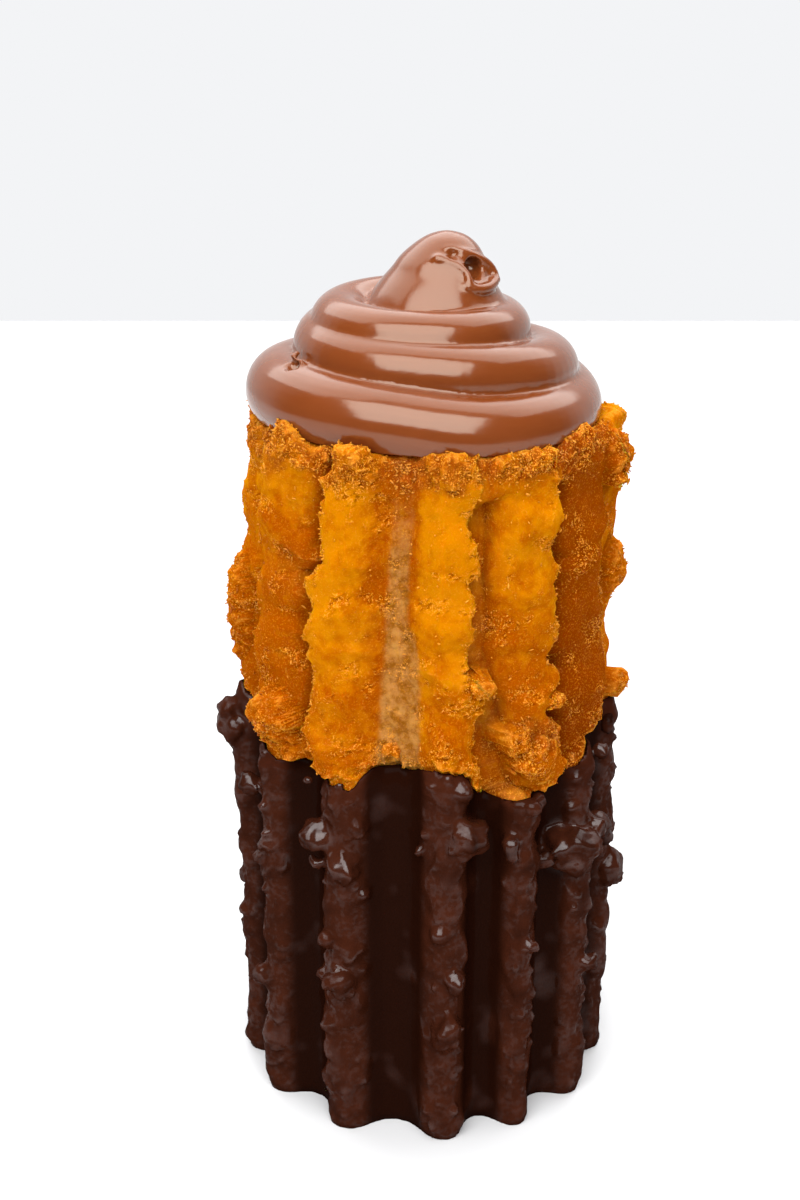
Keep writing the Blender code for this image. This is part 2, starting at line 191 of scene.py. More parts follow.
# Torn collar that joins the ribs' tops: between which heights it grows and is browned, and
# where it stays golden
COLLAR_GROWS = (0.0905, 0.093)
COLLAR_BROWNS = (0.0915, 0.0945)
GOLDEN_COLLAR = ((60, 68), (96, 104))
# Size of its lumps in degrees and in height, how ragged its edge is, how far out it lies, in
# shares of a rib's rise, and how much that varies
COLLAR_LUMPS = (9, 0.004)
COLLAR_RAGGED = 0.0016
COLLAR_OUT = 0.93
COLLAR_VARIES = 0.1
# Angles, and how much the collar fills the creases there
COLLAR = (
    (-96, -60, -40, -14, -6, 4, 12, 24, 80, 96, 120, 150, 180, 214, 240, 264),
    (0.2, 0.15, 0.3, 0.15, 0.1, 0.3, 0.75, 0.9, 0.95, 0.6, 0.3, 0.8, 0.5, 0.9, 0.5, 0.2),
)
# How many degrees from a rib's centre its top is crowned
RIB_CROWN = 10
# Rounded shoulder of the ribs' tops: its height and depth
SHOULDER = 0.002
SHOULDER_DEPTH = 0.0016
# Rings that close the top: share of the radius, share of the way down to the creases' top
TOP_SHRINK = (0.97, 0.93, 0.88, 0.8, 0.66, 0.45)
TOP_SINK = (0.2, 0.5, 0.9, 1, 1, 1)
# The cream covers the top within this radius and above this height, so no relief is needed there
UNDER_CREAM = (0.0195, 0.0212)
UNDER_CREAM_HEIGHT = 0.095

# Knobs of dough and of chocolate: angle, height, how far out, radius, stretch along the rib
DOUGH_KNOBS = (
    (-54, 0.059, 0.0236, 0.004, 0.95), (15.5, 0.067, 0.0244, 0.002, 0.75),
    (-12.2, 0.0572, 0.0216, 0.0011, 0.9), (40, 0.0629, 0.0244, 0.0017, 0.6),
    (27, 0.059, 0.024, 0.0024, 1), (34, 0.056, 0.024, 0.003, 1.1),
    (80, 0.0592, 0.0253, 0.0021, 0.8), (-79, 0.0722, 0.0243, 0.0026, 2.4),
    (-82, 0.066, 0.0242, 0.0022, 1.8), (80, 0.0762, 0.0243, 0.0022, 1.7),
    (71, 0.0918, 0.0241, 0.0027, 1.25), (141, 0.072, 0.024, 0.0036, 1.3),
    (197, 0.088, 0.0242, 0.003, 1.1), (224, 0.064, 0.024, 0.0038, 1),
)
# Where the bar is slimmer: angle, reach in degrees, from this height, to this height, how much
TRIMS = (
    (-84, 26, 0.0755, 0.08, 0.0011), (-84, 26, 0.0915, 0.0955, 0.0014),
    (107, 15, 0.092, 0.0955, 0.002),
)
# Browned spots on the dough: angle, height, reach, how brown
BROWNED = (
    (37, 0.059, 0.003, 0.9), (31, 0.0602, 0.0022, 0.6), (-55, 0.0655, 0.0005, 1),
    (-45, 0.08, 0.004, 0.35), (128, 0.064, 0.0035, 0.8), (205, 0.076, 0.004, 0.7),
    (246, 0.069, 0.0034, 0.8),
)
CHOCOLATE_KNOBS = (
    (-84, 0.0525, 0.0262, 0.0026, 1.3), (-66, 0.0464, 0.0256, 0.0017, 0.8),
    (-56, 0.04, 0.0259, 0.0014, 1), (-34.5, 0.0448, 0.0254, 0.0023, 0.8),
    (-25, 0.0414, 0.026, 0.0019, 1.3), (-28, 0.024, 0.0258, 0.0024, 0.9),
    (12, 0.0462, 0.025, 0.0027, 1), (6, 0.018, 0.0259, 0.002, 1.5),
    (25, 0.0446, 0.0256, 0.0013, 0.9), (50, 0.0402, 0.025, 0.0036, 0.9),
    (59, 0.0416, 0.0256, 0.0025, 0.8), (82, 0.03, 0.026, 0.0022, 1.2),
    (112, 0.033, 0.0256, 0.0028, 1.2), (139, 0.047, 0.0258, 0.002, 1),
    (166, 0.041, 0.0256, 0.0026, 1), (194, 0.027, 0.0258, 0.0022, 1.3),
    (222, 0.044, 0.0257, 0.003, 1), (250, 0.022, 0.0258, 0.0024, 1),
)
# Small drops and star-like nubs on the chocolate, in the same order of values
CHOCOLATE_DROPS = (
    (-66.2, 0.0477, 0.0262, 0.001, 0.8), (-69.5, 0.0474, 0.0262, 0.0007, 0.8),
    (-56, 0.0453, 0.0263, 0.0008, 1.3), (-55, 0.0413, 0.0262, 0.0008, 1),
    (-58.9, 0.0374, 0.0264, 0.0008, 1.4), (-57, 0.0327, 0.0263, 0.0007, 1),
    (-33.3, 0.041, 0.0262, 0.0009, 0.9), (-35.6, 0.0414, 0.026, 0.0006, 0.9),
    (-19.9, 0.0371, 0.0246, 0.0008, 0.9), (-38.6, 0.0519, 0.0248, 0.0008, 0.7),
    (-20.7, 0.0474, 0.0254, 0.0006, 0.9), (-2.9, 0.0442, 0.0244, 0.0006, 1.2),
    (-1.4, 0.0466, 0.0244, 0.0006, 1.2), (9.6, 0.0532, 0.0252, 0.0014, 0.7),
    (13.7, 0.0463, 0.0254, 0.0014, 0.7), (11.6, 0.045, 0.0258, 0.0012, 0.8),
    (24.7, 0.043, 0.0261, 0.0009, 0.8), (30.5, 0.0495, 0.0262, 0.0007, 0.8),
    (37.9, 0.0403, 0.0252, 0.001, 1.2), (54, 0.0407, 0.027, 0.0015, 0.9),
    (66, 0.039, 0.0264, 0.0013, 1), (48.8, 0.0385, 0.0262, 0.0016, 0.9),
    (64.7, 0.052, 0.0256, 0.0012, 1), (70.6, 0.0545, 0.0256, 0.0009, 1.6),
    (-30, 0.03, 0.0264, 0.001, 1.2), (3, 0.033, 0.0264, 0.0009, 1),
    (8, 0.026, 0.0264, 0.0012, 1.1), (31, 0.029, 0.0264, 0.0011, 0.9),
    (57, 0.021, 0.0263, 0.0013, 1.1), (-60, 0.018, 0.0263, 0.0012, 1.2),
    (98, 0.048, 0.0262, 0.001, 0.9), (107, 0.025, 0.0262, 0.0012, 1),
    (133, 0.038, 0.0263, 0.0009, 1), (160, 0.022, 0.0262, 0.0012, 1.2),
    (190, 0.046, 0.0262, 0.001, 0.9), (216, 0.03, 0.0263, 0.0011, 1),
    (244, 0.04, 0.0262, 0.001, 1.1),
)
# How lumpy the knobs and drops are
KNOB_LUMPS = 0.4

# Crumbs: start of the random draws, share that are shreds, how long those are, and the rest
CRUMB_SEED = 11
SHRED_SHARE = 0.35
SHRED_LENGTHS = (1.6, 2.8)
CRUMB_LENGTH = 1.15

# Edge of the chocolate round the bar: angle, height in millimetres
DIP_LINE = (
    (-96, 57.5), (-82, 59), (-68, 54), (-57, 54), (-46, 52.6), (-37, 52.8), (-32, 52.9),
    (-23.6, 53), (-19, 54.6), (-10, 54.8), (-4.7, 54.3), (2.2, 56.3), (9.8, 55.4), (17.1, 50.2),
    (28, 50.2), (35.1, 50.3), (42, 50.6), (50, 51.8), (58.7, 54.2), (67.7, 57), (83, 56),
    (98, 54.6), (120, 56.4), (134, 54), (152, 56.6), (168, 54.2), (186, 55.6), (203, 53.6),
    (220, 56.8), (236, 54.4), (252, 56.6), (264, 57.5),
)
# How far that edge is ragged
DIP_RAGGED = 0.0007
# Height and depth of the rounding at the foot and at the lip, and of the thinner edge
DIP_FOOT = (0.0008, 0.0008)
DIP_LIP = (0.0009, 0.0005)
DIP_EDGE = (0.0028, 0.0006)
# The remeshed foot is cut off flat at this height and drawn down to the ground
DIP_CUT = 0.0004
# Points round the cup, rings up it, points round the space for the dough, top of that space
DIP_COLUMNS = 480
DIP_ROWS = 120
CUTTER_COLUMNS = 260
CUTTER_TOP = 0.07

# Height of the cream's flat foot
SWIRL_FOOT = 0.0965
# Stations along the piping: turns, distance of the bead's middle, its height, its radius
SWIRL_STATIONS = (
    (-0.53, 0.0176, 0.0974, 0.004), (-0.45, 0.0184, 0.0982, 0.0046),
    (-0.2, 0.0186, 0.098, 0.0045), (0, 0.0181, 0.0972, 0.0043), (0.18, 0.019, 0.0977, 0.0046),
    (0.29, 0.018, 0.099, 0.0047), (0.4, 0.0182, 0.0993, 0.005), (0.5, 0.0184, 0.0991, 0.005),
    (0.62, 0.0169, 0.0986, 0.0047), (0.75, 0.0158, 0.0996, 0.0044), (1, 0.015, 0.1014, 0.0044),
    (1.25, 0.0139, 0.104, 0.004), (1.5, 0.0132, 0.1049, 0.004), (1.75, 0.0115, 0.1058, 0.0039),
    (2, 0.0096, 0.1066, 0.0035), (2.25, 0.0106, 0.1075, 0.0036), (2.5, 0.0111, 0.1074, 0.004),
    (2.75, 0.0081, 0.1076, 0.004), (3, 0.0062, 0.1078, 0.004),
)
# Steps from one station to the next
SWIRL_STEPS = 16
# Core under the coils: height and radius of its foot, height and radius of its top
SWIRL_CORE = (0.095, 0.019, 0.1095, 0.0075)
# The pulled tip, which leans to the right: rings' middle, height and radius
TIP_RINGS = (
    (0.001, 0.106, 0.0102), (0.001, 0.1085, 0.0097), (0.001, 0.1099, 0.009),
    (0.001, 0.1113, 0.0081), (0.0012, 0.1128, 0.0071), (0.0015, 0.1141, 0.0062),
    (0.0017, 0.1154, 0.0054), (0.002, 0.1165, 0.0045), (0.0022, 0.1174, 0.0035),
    (0.0023, 0.1181, 0.0024), (0.0023, 0.1185, 0.0012), (0.0023, 0.1187, 0.0002),
)
# Points round each ring
TIP_RING_STEPS = 48
# The tip's depth as a share of its width
TIP_DEPTH = 0.94
# How far the tip leans back, and between which heights
TIP_LEAN = (0.0013, 0.1085, 0.1175)
# Folds where the tip broke off and curled over: points and radii
TIP_FOLDS = (
    (
        (0.0011, -0.0044, 0.116, 0.00075), (0.0024, -0.0046, 0.1157, 0.0005),
        (0.0038, -0.0048, 0.1152, 0.00045), (0.0047, -0.0052, 0.1144, 0.00045),
        (0.005, -0.0056, 0.1135, 0.0005),
    ),
    (
        (0.0046, -0.0058, 0.113, 0.0005), (0.0062, -0.0052, 0.1125, 0.0007),
        (0.0076, -0.0036, 0.1125, 0.0007), (0.0085, -0.0018, 0.113, 0.0006),
    ),
    (
        (0.0022, -0.0034, 0.117, 0.0004), (0.0042, -0.0032, 0.1166, 0.0006),
        (0.0061, -0.0024, 0.1157, 0.0007), (0.0075, -0.0014, 0.1146, 0.0007),
        (0.0084, -0.0012, 0.1133, 0.0006),
    ),
    (
        (-0.0158, -0.0098, 0.1046, 0.0005), (-0.0168, -0.009, 0.105, 0.00045),
        (-0.0163, -0.008, 0.1053, 0.0004),
    ),
)
# Steps from one point of a fold, or ring of the tip, to the next
FOLD_STEPS = 6
# Dents in the cream: place, reach, depth
SWIRL_DENTS = (
    (0.0057, -0.0038, 0.1147, 0.0017, 0.002), (0.0052, -0.003, 0.1147, 0.0016, 0.0016),
    (0.003, -0.004, 0.1166, 0.0011, 0.0006), (-0.0168, -0.0096, 0.1044, 0.0014, 0.0011),
)

# Softboxes: name, place, size, brightness of the face, with white paper at about 1
SOFTBOXES = (
    ("front softbox", (-0.058, -0.414, 0.588), (0.82, 0.66), 5.3),
    ("back softbox", (0, 0.38, 0.78), (1.7, 1), 2.1),
)
SOFTBOX_AIM = (0, 0, 0.09)
# The world's light: where it fades from front to back, its brightness in front and behind
STUDIO_FADE = (0.05, 0.6)
STUDIO_FRONT = (0.03, 0.03, 0.03)
STUDIO_BACK = (0.9, 0.9, 0.9)
# The floor lies this far under the foot, and is so much wider than deep
FLOOR_GAP = 0.00005
FLOOR_STRETCH = 1.6
# Camera at the photograph's view: place, tilt in degrees, lens in millimetres
CAMERA_PLACE = (-0.0036, -0.2313, 0.1639)
CAMERA_TILT = 67.7
CAMERA_LENS = 55.5


# Settings


def paint(red, green, blue):
    """A screen colour of 0 to 255 as the linear colour that the shaders take."""
    linear = []
    for part in (red, green, blue):
        part /= 255
        linear.append(part / 12.92 if part <= 0.04045 else ((part + 0.055) / 1.055) ** 2.4)
    return tuple(linear)


def colour_property(name, description, default):
    return FloatVectorProperty(
        name=name, description=description, default=default, size=3, subtype="COLOR",
        min=0, max=1,
    )


def length_property(name, description, default):
    return FloatProperty(
        name=name, description=description, default=default, min=0, unit="LENGTH", precision=5
    )


class DoughSettings(bpy.types.PropertyGroup):
    crest: length_property("Crest radius", "Distance of the ribs' crests from the axis", 0.0249)
    valley: length_property("Valley radius", "Distance of the creases from the axis", 0.0203)
    lumps: length_property("Lumps", "Height of the soft lumps", 0.0006)
    grain: length_property("Grain", "Height of the crisp grain", 0.00022)
    spikes: length_property("Spikes", "Height of the torn spikes", 0.0012)
    golden: colour_property("Golden", "Colour of the crests in front", paint(185, 112, 0))
    orange: colour_property("Orange", "Colour of well fried dough", paint(150, 71, 0))
    # Deep is painted shade in the creases and hollows and on the shaded sixth rib, and the browned
    # ribs' colour
    deep: colour_property("Deep", "Colour down in the creases", paint(114, 44, 0))
    toasted: colour_property("Toasted", "Colour of the browned tips", paint(126, 54, 8))
    crumb: colour_property("Crumb", "Colour of the open pale crumb", paint(172, 122, 60))
    # Painted shade for the open crumb's hollows, laid in a noise pattern
    crumb_shade: colour_property("Soaked crumb", "Colour of the crumb's hollows", paint(124, 74, 16))
    # Painted glints take this colour on the dough; on the crumbs it is a random paler tone
    fleck_and_glint: colour_property("Flecks", "Colour of the pale crisp flecks", paint(222, 148, 44))


class CrumbSettings(bpy.types.PropertyGroup):
    crumbs: IntProperty(name="Crumbs", description="How many crumbs", default=9000, min=1)
    crumb_size: length_property("Crumb size", "Radius of a crumb", 0.00015)


class DipSettings(bpy.types.PropertyGroup):
    crest: length_property("Crest radius", "Distance of the ribs' crests from the axis", 0.0262)
    valley: length_property("Valley radius", "Distance of the valleys from the axis", 0.0219)
    floor: length_property("Floor", "Thickness under the dough", 0.0016)
    fineness: length_property("Fineness", "Size of the faces", 0.00045)
    lumps: length_property("Lumps", "Height of the soft lumps", 0.0011)
    drops: length_property("Drops", "Height of the small drops", 0.0007)
    # Painted shade: the valleys are given a darker colour than the ridges
    dark: colour_property("Dark", "Colour in the valleys", paint(27, 9, 4))
    light: colour_property("Light", "Colour on the ridges", paint(56, 25, 14))


class SwirlSettings(bpy.types.PropertyGroup):
    fineness: length_property("Fineness", "Size of the faces", 0.00028)
    settle: IntProperty(name="Settle", description="Rounds of smoothing", default=7, min=0)
    cream: colour_property("Cream", "Colour of the cream", paint(104, 50, 20))


class StageSettings(bpy.types.PropertyGroup):
    reach: length_property("Reach", "Half the side of the floor", 0.44)
    backdrop: colour_property("Backdrop", "Colour behind the floor", paint(243, 244, 246))
    floor: colour_property("Floor", "Colour of the floor", paint(204, 204, 205))


# Shader maths


class Number:
    """A number socket: Python's arithmetic on it adds Math nodes."""

    def __init__(self, net, socket):
        self.net = net
        self.socket = socket

    def _math(self, operation, first, second):
        values = {0: first, 1: second}
        return self.net.add("ShaderNodeMath", {"operation": operation}, values)("Value")

    def __add__(self, other):
        return self._math("ADD", self, other)

    def __sub__(self, other):
        return self._math("SUBTRACT", self, other)

    def __rsub__(self, other):
        return self._math("SUBTRACT", other, self)

    def __mul__(self, other):
        return self._math("MULTIPLY", self, other)

    __radd__ = __add__
    __rmul__ = __mul__

    def clamped(self):
        settings = {"operation": "MULTIPLY", "use_clamp": True}
        return self.net.add("ShaderNodeMath", settings, {0: self, 1: 1.0})("Value")


class Net:
    """The nodes of one material or world."""

    def __init__(self, tree):
        self.tree = tree

    def add(self, kind, settings=None, values=None):
        """A node: its settings first, then its sockets' values or links. Returns its outputs."""
        node = self.tree.nodes.new(kind)
        for name, value in (settings or {}).items():
            setattr(node, name, value)
        for name, value in (values or {}).items():
            socket = self._find(node.inputs, name)
            if isinstance(value, Number):
                self.tree.links.new(value.socket, socket)
            elif socket.type == "RGBA":
                socket.default_value = (*value, 1.0)
            else:
                socket.default_value = value
        return lambda name: Number(self, self._find(node.outputs, name))

    @staticmethod
    def _find(sockets, name):
        if isinstance(name, int):
            return sockets[name]
        return next(item for item in sockets if item.name == name and item.enabled)

    def place(self):
        return self.add("ShaderNodeTexCoord")("Object")

    def attribute(self, name):
        return self.add("ShaderNodeAttribute", {"attribute_name": name})("Fac")

    def noise(self, place, scale, detail=2.0, roughness=0.5):
        values = {"Vector": place, "Scale": scale, "Detail": detail, "Roughness": roughness}
        return self.add("ShaderNodeTexNoise", None, values)("Fac")

    def between(self, value, low, high):
        """0 below low, 1 above high, smooth between."""
        settings = {"interpolation_type": "SMOOTHSTEP"}
        values = {"Value": value, "From Min": low, "From Max": high}
        return self.add("ShaderNodeMapRange", settings, values)("Result")

    def mix(self, factor, first, second):
        values = {"Factor": factor, "A": first, "B": second}
        return self.add("ShaderNodeMix", {"data_type": "RGBA"}, values)("Result")

    def bump(self, height, distance, strength):
        values = {"Height": height, "Distance": distance, "Strength": strength}
        return self.add("ShaderNodeBump", None, values)("Normal")


def new_net(name):
    material = bpy.data.materials.new(name)
    material.use_nodes = True
    net = Net(material.node_tree)
    net.tree.nodes.clear()
    return material, net


def finish_material(net, values):
    """The shader with these values and the material's output."""
    shader = net.add("ShaderNodeBsdfPrincipled", None, values)("BSDF")
    net.add("ShaderNodeOutputMaterial", None, {"Surface": shader})


# Angles, places and noise


def point_at(angle, radius, height):
    """A point from its angle, its distance from the axis and its height."""
    turn = math.radians(angle)
    return Vector((radius * math.sin(turn), -radius * math.cos(turn), height))


def once_round(angles):
    """The same angles, counted once round from the first."""
    return (angles - FIRST_ANGLE) % 360 + FIRST_ANGLE


def turn_from(start, angles):
    """How far the angles are turned from the start, -180 to 180."""
    return (angles - start + 180) % 360 - 180


def ring_angles(count):
    """Even angles once round the bar."""
    return FIRST_ANGLE + 360 * np.arange(count) / count


def angles_of(places):
    return once_round(np.degrees(np.arctan2(places[:, 0], -places[:, 1])))


def away_from(point, places):
    """How far each of the places is from a point."""
    return np.linalg.norm(places - np.array(point), axis=1)


def steps(values, low, high):
    """0 below low, 1 above high, smooth between."""
    share = np.clip((values - low) / (high - low), 0, 1)
    return share * share * (3 - 2 * share)


def noise_at(points, size, shift):
    """Smooth noise of -1 to 1 at each of the points, with lumps of about this size."""
    step = Vector((shift, 2.7 * shift, -1.9 * shift))
    return np.array([noise.noise(Vector(point) / size + step) for point in points])


def noise_along(heights, across, depth, size):
    """Smooth noise of -1 to 1 at each of the heights, on its own line for each rib."""
    return np.array([noise.noise(Vector((across, depth, height / size))) for height in heights])


# Objects and meshes


def link_object(name, data):
    item = bpy.data.objects.new(name, data)
    bpy.context.scene.collection.objects.link(item)
    return item


def new_object(name, bm):
    mesh = bpy.data.meshes.new(name)
    bm.to_mesh(mesh)
    bm.free()
    return link_object(name, mesh)


def finish_piece(item, material):
    """Gives a piece its only material and smooth shading."""
    item.data.materials.clear()
    item.data.materials.append(material)
    item.data.shade_smooth()


def bake_modifiers(item):
    """The object's modifiers become its mesh."""
    graph = bpy.context.evaluated_depsgraph_get()
    graph.update()
    mesh = bpy.data.meshes.new_from_object(item.evaluated_get(graph))
    plain = item.data
    item.modifiers.clear()
    item.data = mesh
    bpy.data.meshes.remove(plain)


def remesh(item, size, rounds):
    """One even skin over all the shapes in the mesh, with this many rounds of smoothing."""
    melt = item.modifiers.new("Melt", "REMESH")
    melt.mode = "VOXEL"
    melt.voxel_size = size
    settle = item.modifiers.new("Settle", "SMOOTH")
    settle.factor = 0.5
    settle.iterations = rounds
    bake_modifiers(item)


def read_values(items, name, width, kind=np.float32):
    """A row of values for each item of a mesh."""
    values = np.empty(len(items) * width, kind)
    items.foreach_get(name, values)
    return values.reshape(-1, width)


def read_points(mesh):
    """Places and normals of the mesh's points."""
    places = read_values(mesh.vertices, "co", 3).astype(float)
    return places, read_values(mesh.vertex_normals, "vector", 3).astype(float)


def write_points(mesh, places):
    mesh.vertices.foreach_set("co", places.astype(np.float32).ravel())
    mesh.update()


def read_attribute(mesh, name):
    return read_values(mesh.attributes[name].data, "value", 1)[:, 0].astype(float)


def write_attribute(mesh, name, values):
    layer = mesh.attributes.new(name, "FLOAT", "POINT")
    layer.data.foreach_set("value", np.asarray(values, np.float32))


def pointed(mesh, places, normals):
    """How far each point stands out from its neighbours, in metres."""
    edges = read_values(mesh.edges, "vertices", 2, np.int32)
    total = np.zeros_like(places)
    count = np.zeros(len(places))
    for here, there in ((0, 1), (1, 0)):
        np.add.at(total, edges[:, here], places[edges[:, there]])
        np.add.at(count, edges[:, here], 1)
    mean = total / count[:, None]
    return ((places - mean) * normals).sum(1)


def close_holes(bm):
    """Fills what is open and turns all the faces outwards."""
    bmesh.ops.holes_fill(bm, edges=[edge for edge in bm.edges if edge.is_boundary], sides=0)
    bmesh.ops.recalc_face_normals(bm, faces=bm.faces)


def wrapped_grid(angles, radii, heights, layers=None):
    """A closed tube from a grid of rings, bottom first, with named values at its points."""
    angles, radii, heights = np.broadcast_arrays(angles, radii, heights)
    rows, columns = radii.shape
    bm = bmesh.new()
    bmesh.ops.create_grid(bm, x_segments=columns, y_segments=rows - 1, size=1)
    flat = np.array([vert.co for vert in bm.verts])
    column = np.round((flat[:, 0] + 1) / 2 * columns).astype(int) % columns
    row = np.round((flat[:, 1] + 1) / 2 * (rows - 1)).astype(int)
    turn = np.radians(angles)
    grid = np.stack((radii * np.sin(turn), -radii * np.cos(turn), heights), 2)
    for vert, point in zip(bm.verts, grid[row, column]):
        vert.co = point
    for name, values in (layers or {}).items():
        layer = bm.verts.layers.float.new(name)
        for vert, value in zip(bm.verts, values[row, column]):
            vert[layer] = value
    seam = [vert for vert, spot in zip(bm.verts, flat) if abs(spot[0]) > 0.9999]
    bmesh.ops.remove_doubles(bm, verts=seam, dist=0.000002)
    close_holes(bm)
    return bm


def keep_above_foot(item, height, floor):
    """The mesh above a height, drawn straight down from there to its flat foot."""
    bm = bmesh.new()
    bm.from_mesh(item.data)
    geometry = [*bm.verts, *bm.edges, *bm.faces]
    bmesh.ops.bisect_plane(
        bm, geom=geometry, plane_co=(0, 0, height), plane_no=(0, 0, 1), clear_inner=True
    )
    loose = [edge for edge in bm.edges if edge.is_wire]
    bmesh.ops.delete(bm, geom=loose, context="EDGES")
    if floor < height:
        rim = [edge for edge in bm.edges if edge.is_boundary]
        for part in bmesh.ops.extrude_edge_only(bm, edges=rim)["geom"]:
            if isinstance(part, bmesh.types.BMVert):
                part.co.z = floor
    close_holes(bm)
    bm.to_mesh(item.data)
    bm.free()


def add_knob(bm, knob, index):
    """A lumpy ball on a rib, which the remeshing melts into the bar."""
    angle, height, out, radius, stretch = knob
    made = bmesh.ops.create_icosphere(bm, subdivisions=4, radius=1)
    for vert in made["verts"]:
        shift = Vector((5.7 * index, 0, 0))
        lump = 1 + KNOB_LUMPS * noise.noise(1.3 * vert.co + shift)
        lump += 0.5 * KNOB_LUMPS * noise.noise(3.1 * vert.co + shift)
        across = vert.co * lump * radius
        vert.co = Vector((across.x, across.y, across.z * stretch))
    bmesh.ops.translate(bm, vec=point_at(angle, out, height), verts=made["verts"])


def blend_rows(rows, index, share):
    """A smooth curve through rows of values, read between a row and the next."""
    last = len(rows) - 1
    ends = [rows[min(max(index + step, 0), last)] for step in (-1, 0, 1, 2)]
    values = []
    for a, b, c, d in zip(*ends):
        bend = 2 * b + (c - a) * share
        bend += (2 * a - 5 * b + 4 * c - d) * share**2 + (3 * b - a - 3 * c + d) * share**3
        values.append(bend / 2)
    return values


def smooth_route(rows, count):
    """Rows of values along a smooth curve, with this many steps from each row to the next."""
    route = []
    for index in range(len(rows) - 1):
        route += [blend_rows(rows, index, step / count) for step in range(count)]
    return [*route, rows[-1]]


# Ribs of the bar


def all_ribs():
    """Every rib as (centre in the dip, centre above it, top), round from the left."""
    ribs = list(FRONT_RIBS)
    last = ribs[-1]
    first = ribs[0]
    for index in range(1, BACK_RIBS + 1):
        share = index / (BACK_RIBS + 1)
        dipped = last[0] + share * (first[0] + 360 - last[0])
        fried = last[1] + share * (first[1] + 360 - last[1])
        ribs.append((dipped, fried, BACK_TOP))
    return ribs


RIBS = all_ribs()


def dipped_radius(angles, crest, valley):
    """Distance of the dipped bar's wall from the axis at each of the angles."""
    known = []
    for rib, entry in enumerate(RIBS):
        for step in range(RIB_COLUMNS):
            across = 2 * step / RIB_COLUMNS - 1
            beside = RIBS[(rib + (1 if across > 0 else -1)) % len(RIBS)][0]
            half_gap = turn_from(entry[0], beside) / 2
            turn = abs(across)
            spread = turn + DIPPED_SQUARENESS * math.sin(2 * math.pi * turn)
            spread += DIPPED_FILL * math.sin(math.pi * turn)
            angle = (entry[0] + half_gap * spread - FIRST_ANGLE) % 360
            known.append((angle, math.cos(math.pi * across)))
    known.sort()
    places, rises = np.array(known).T
    rise = np.interp((angles - FIRST_ANGLE) % 360, places, rises, period=360)
    return (crest + valley) / 2 + (crest - valley) / 2 * rise


def dip_line(angles):
    """Height of the edge of the chocolate at each of the angles."""
    table = np.array(DIP_LINE)
    places = once_round(angles)
    turn = np.radians(places).ravel()
    ring = np.stack((np.cos(turn), np.sin(turn), 0 * turn), 1)
    ragged = noise_at(ring, 0.11, 31.0) + 0.6 * noise_at(ring, 0.045, 32.0)
    ragged += 0.3 * noise_at(ring, 0.025, 33.0)
    line = np.interp(places, table[:, 0], table[:, 1]) / 1000
    return line + DIP_RAGGED * ragged.reshape(places.shape)


def edge_table(rows, heights):
    """A rib's edge at each of the heights, from its measured rows."""
    table = np.array(rows)[::-1]
    return np.interp(heights * 1000, table[:, 1], table[:, 0])


def rib_edges(heights):
    """Left and right edge of every fried rib at each of the heights."""
    count = len(RIBS)
    left = np.zeros((count, len(heights)))
    right = np.zeros((count, len(heights)))
    for rib in range(count):
        beside = (rib + 1) % count
        here = RIBS[rib][1]
        step = (RIBS[beside][1] - here) % 360
        middle = here + step / 2
        middle = middle + BACK_CREASE_SWAY * noise_along(heights, 3.1 * rib, 7.7, SWAY_SIZE)
        widens = BACK_CREASE_WIDENS * noise_along(heights, 3.1 * rib, -4.2, WIDEN_SIZE)
        half = BACK_CREASE * (1 + widens)
        right[rib] = middle - half
        left[beside] = turn_from(0, middle + half) if beside == 0 else middle + half
    for rib, rows in LEFT_EDGES.items():
        left[rib] = edge_table(rows, heights)
        if rib - 1 not in RIGHT_EDGES:
            right[rib - 1] = left[rib] - CREASE_BESIDE
    for rib, rows in RIGHT_EDGES.items():
        right[rib] = edge_table(rows, heights)
        if rib + 1 not in LEFT_EDGES:
            left[rib + 1] = right[rib] + CREASE_BESIDE
    return left, right


def pale_crease(angles, levels):
    """Where the open crumb shows between two ribs, 0 to 1, for rings of points."""
    pale = 1 - steps(np.abs(angles - PALE_BEHIND), *PALE_BACK)
    for crease, share in PALE_CREASES.items():
        start = edge_table(RIGHT_EDGES[crease], levels)[:, None]
        end = edge_table(LEFT_EDGES[crease + 1], levels)[:, None]
        front = steps(angles, *(start + fade for fade in PALE_LEFT))
        front = front * (1 - steps(angles, *(end + fade for fade in PALE_RIGHT)))
        pale = np.maximum(pale, share * front)
    low = 1 - steps(levels, *PALE_HEIGHTS)[:, None]
    return pale * (PALE_ABOVE + (1 - PALE_ABOVE) * low)


def section_steps():
    """A rib's section at even steps along it, from its torn side: share across, share out."""
    rows = np.array(SECTION)
    fine = np.linspace(0, len(rows) - 1, 281)
    curve = np.stack([np.interp(fine, np.arange(len(rows)), rows[:, part]) for part in (0, 1)])
    for _ in range(60):
        curve[:, 1:-1] = (curve[:, :-2] + 2 * curve[:, 1:-1] + curve[:, 2:]) / 4
    moves = np.diff(curve, axis=1)
    walk = np.hypot(RIB_WIDTH * moves[0], WALL_SHARE * RIB_RISE * moves[1])
    length = np.concatenate(((0,), np.cumsum(walk)))
    even = np.linspace(0, length[-1], RIB_STEPS + 1)
    return list(zip(*(np.interp(even, length, part) for part in curve)))


def rib_tops(angles):
    """Height of the top of the bar at each of the angles: crowned over the ribs."""
    out = np.full(angles.shape, DOUGH_TOP)
    for dipped, fried, top in RIBS:
        off = np.abs(turn_from((dipped + fried) / 2, angles)) / RIB_CROWN
        out = np.maximum(out, DOUGH_TOP + (top - DOUGH_TOP) * np.clip(1.15 - off**2, 0, 1))
    return out


# Fried dough


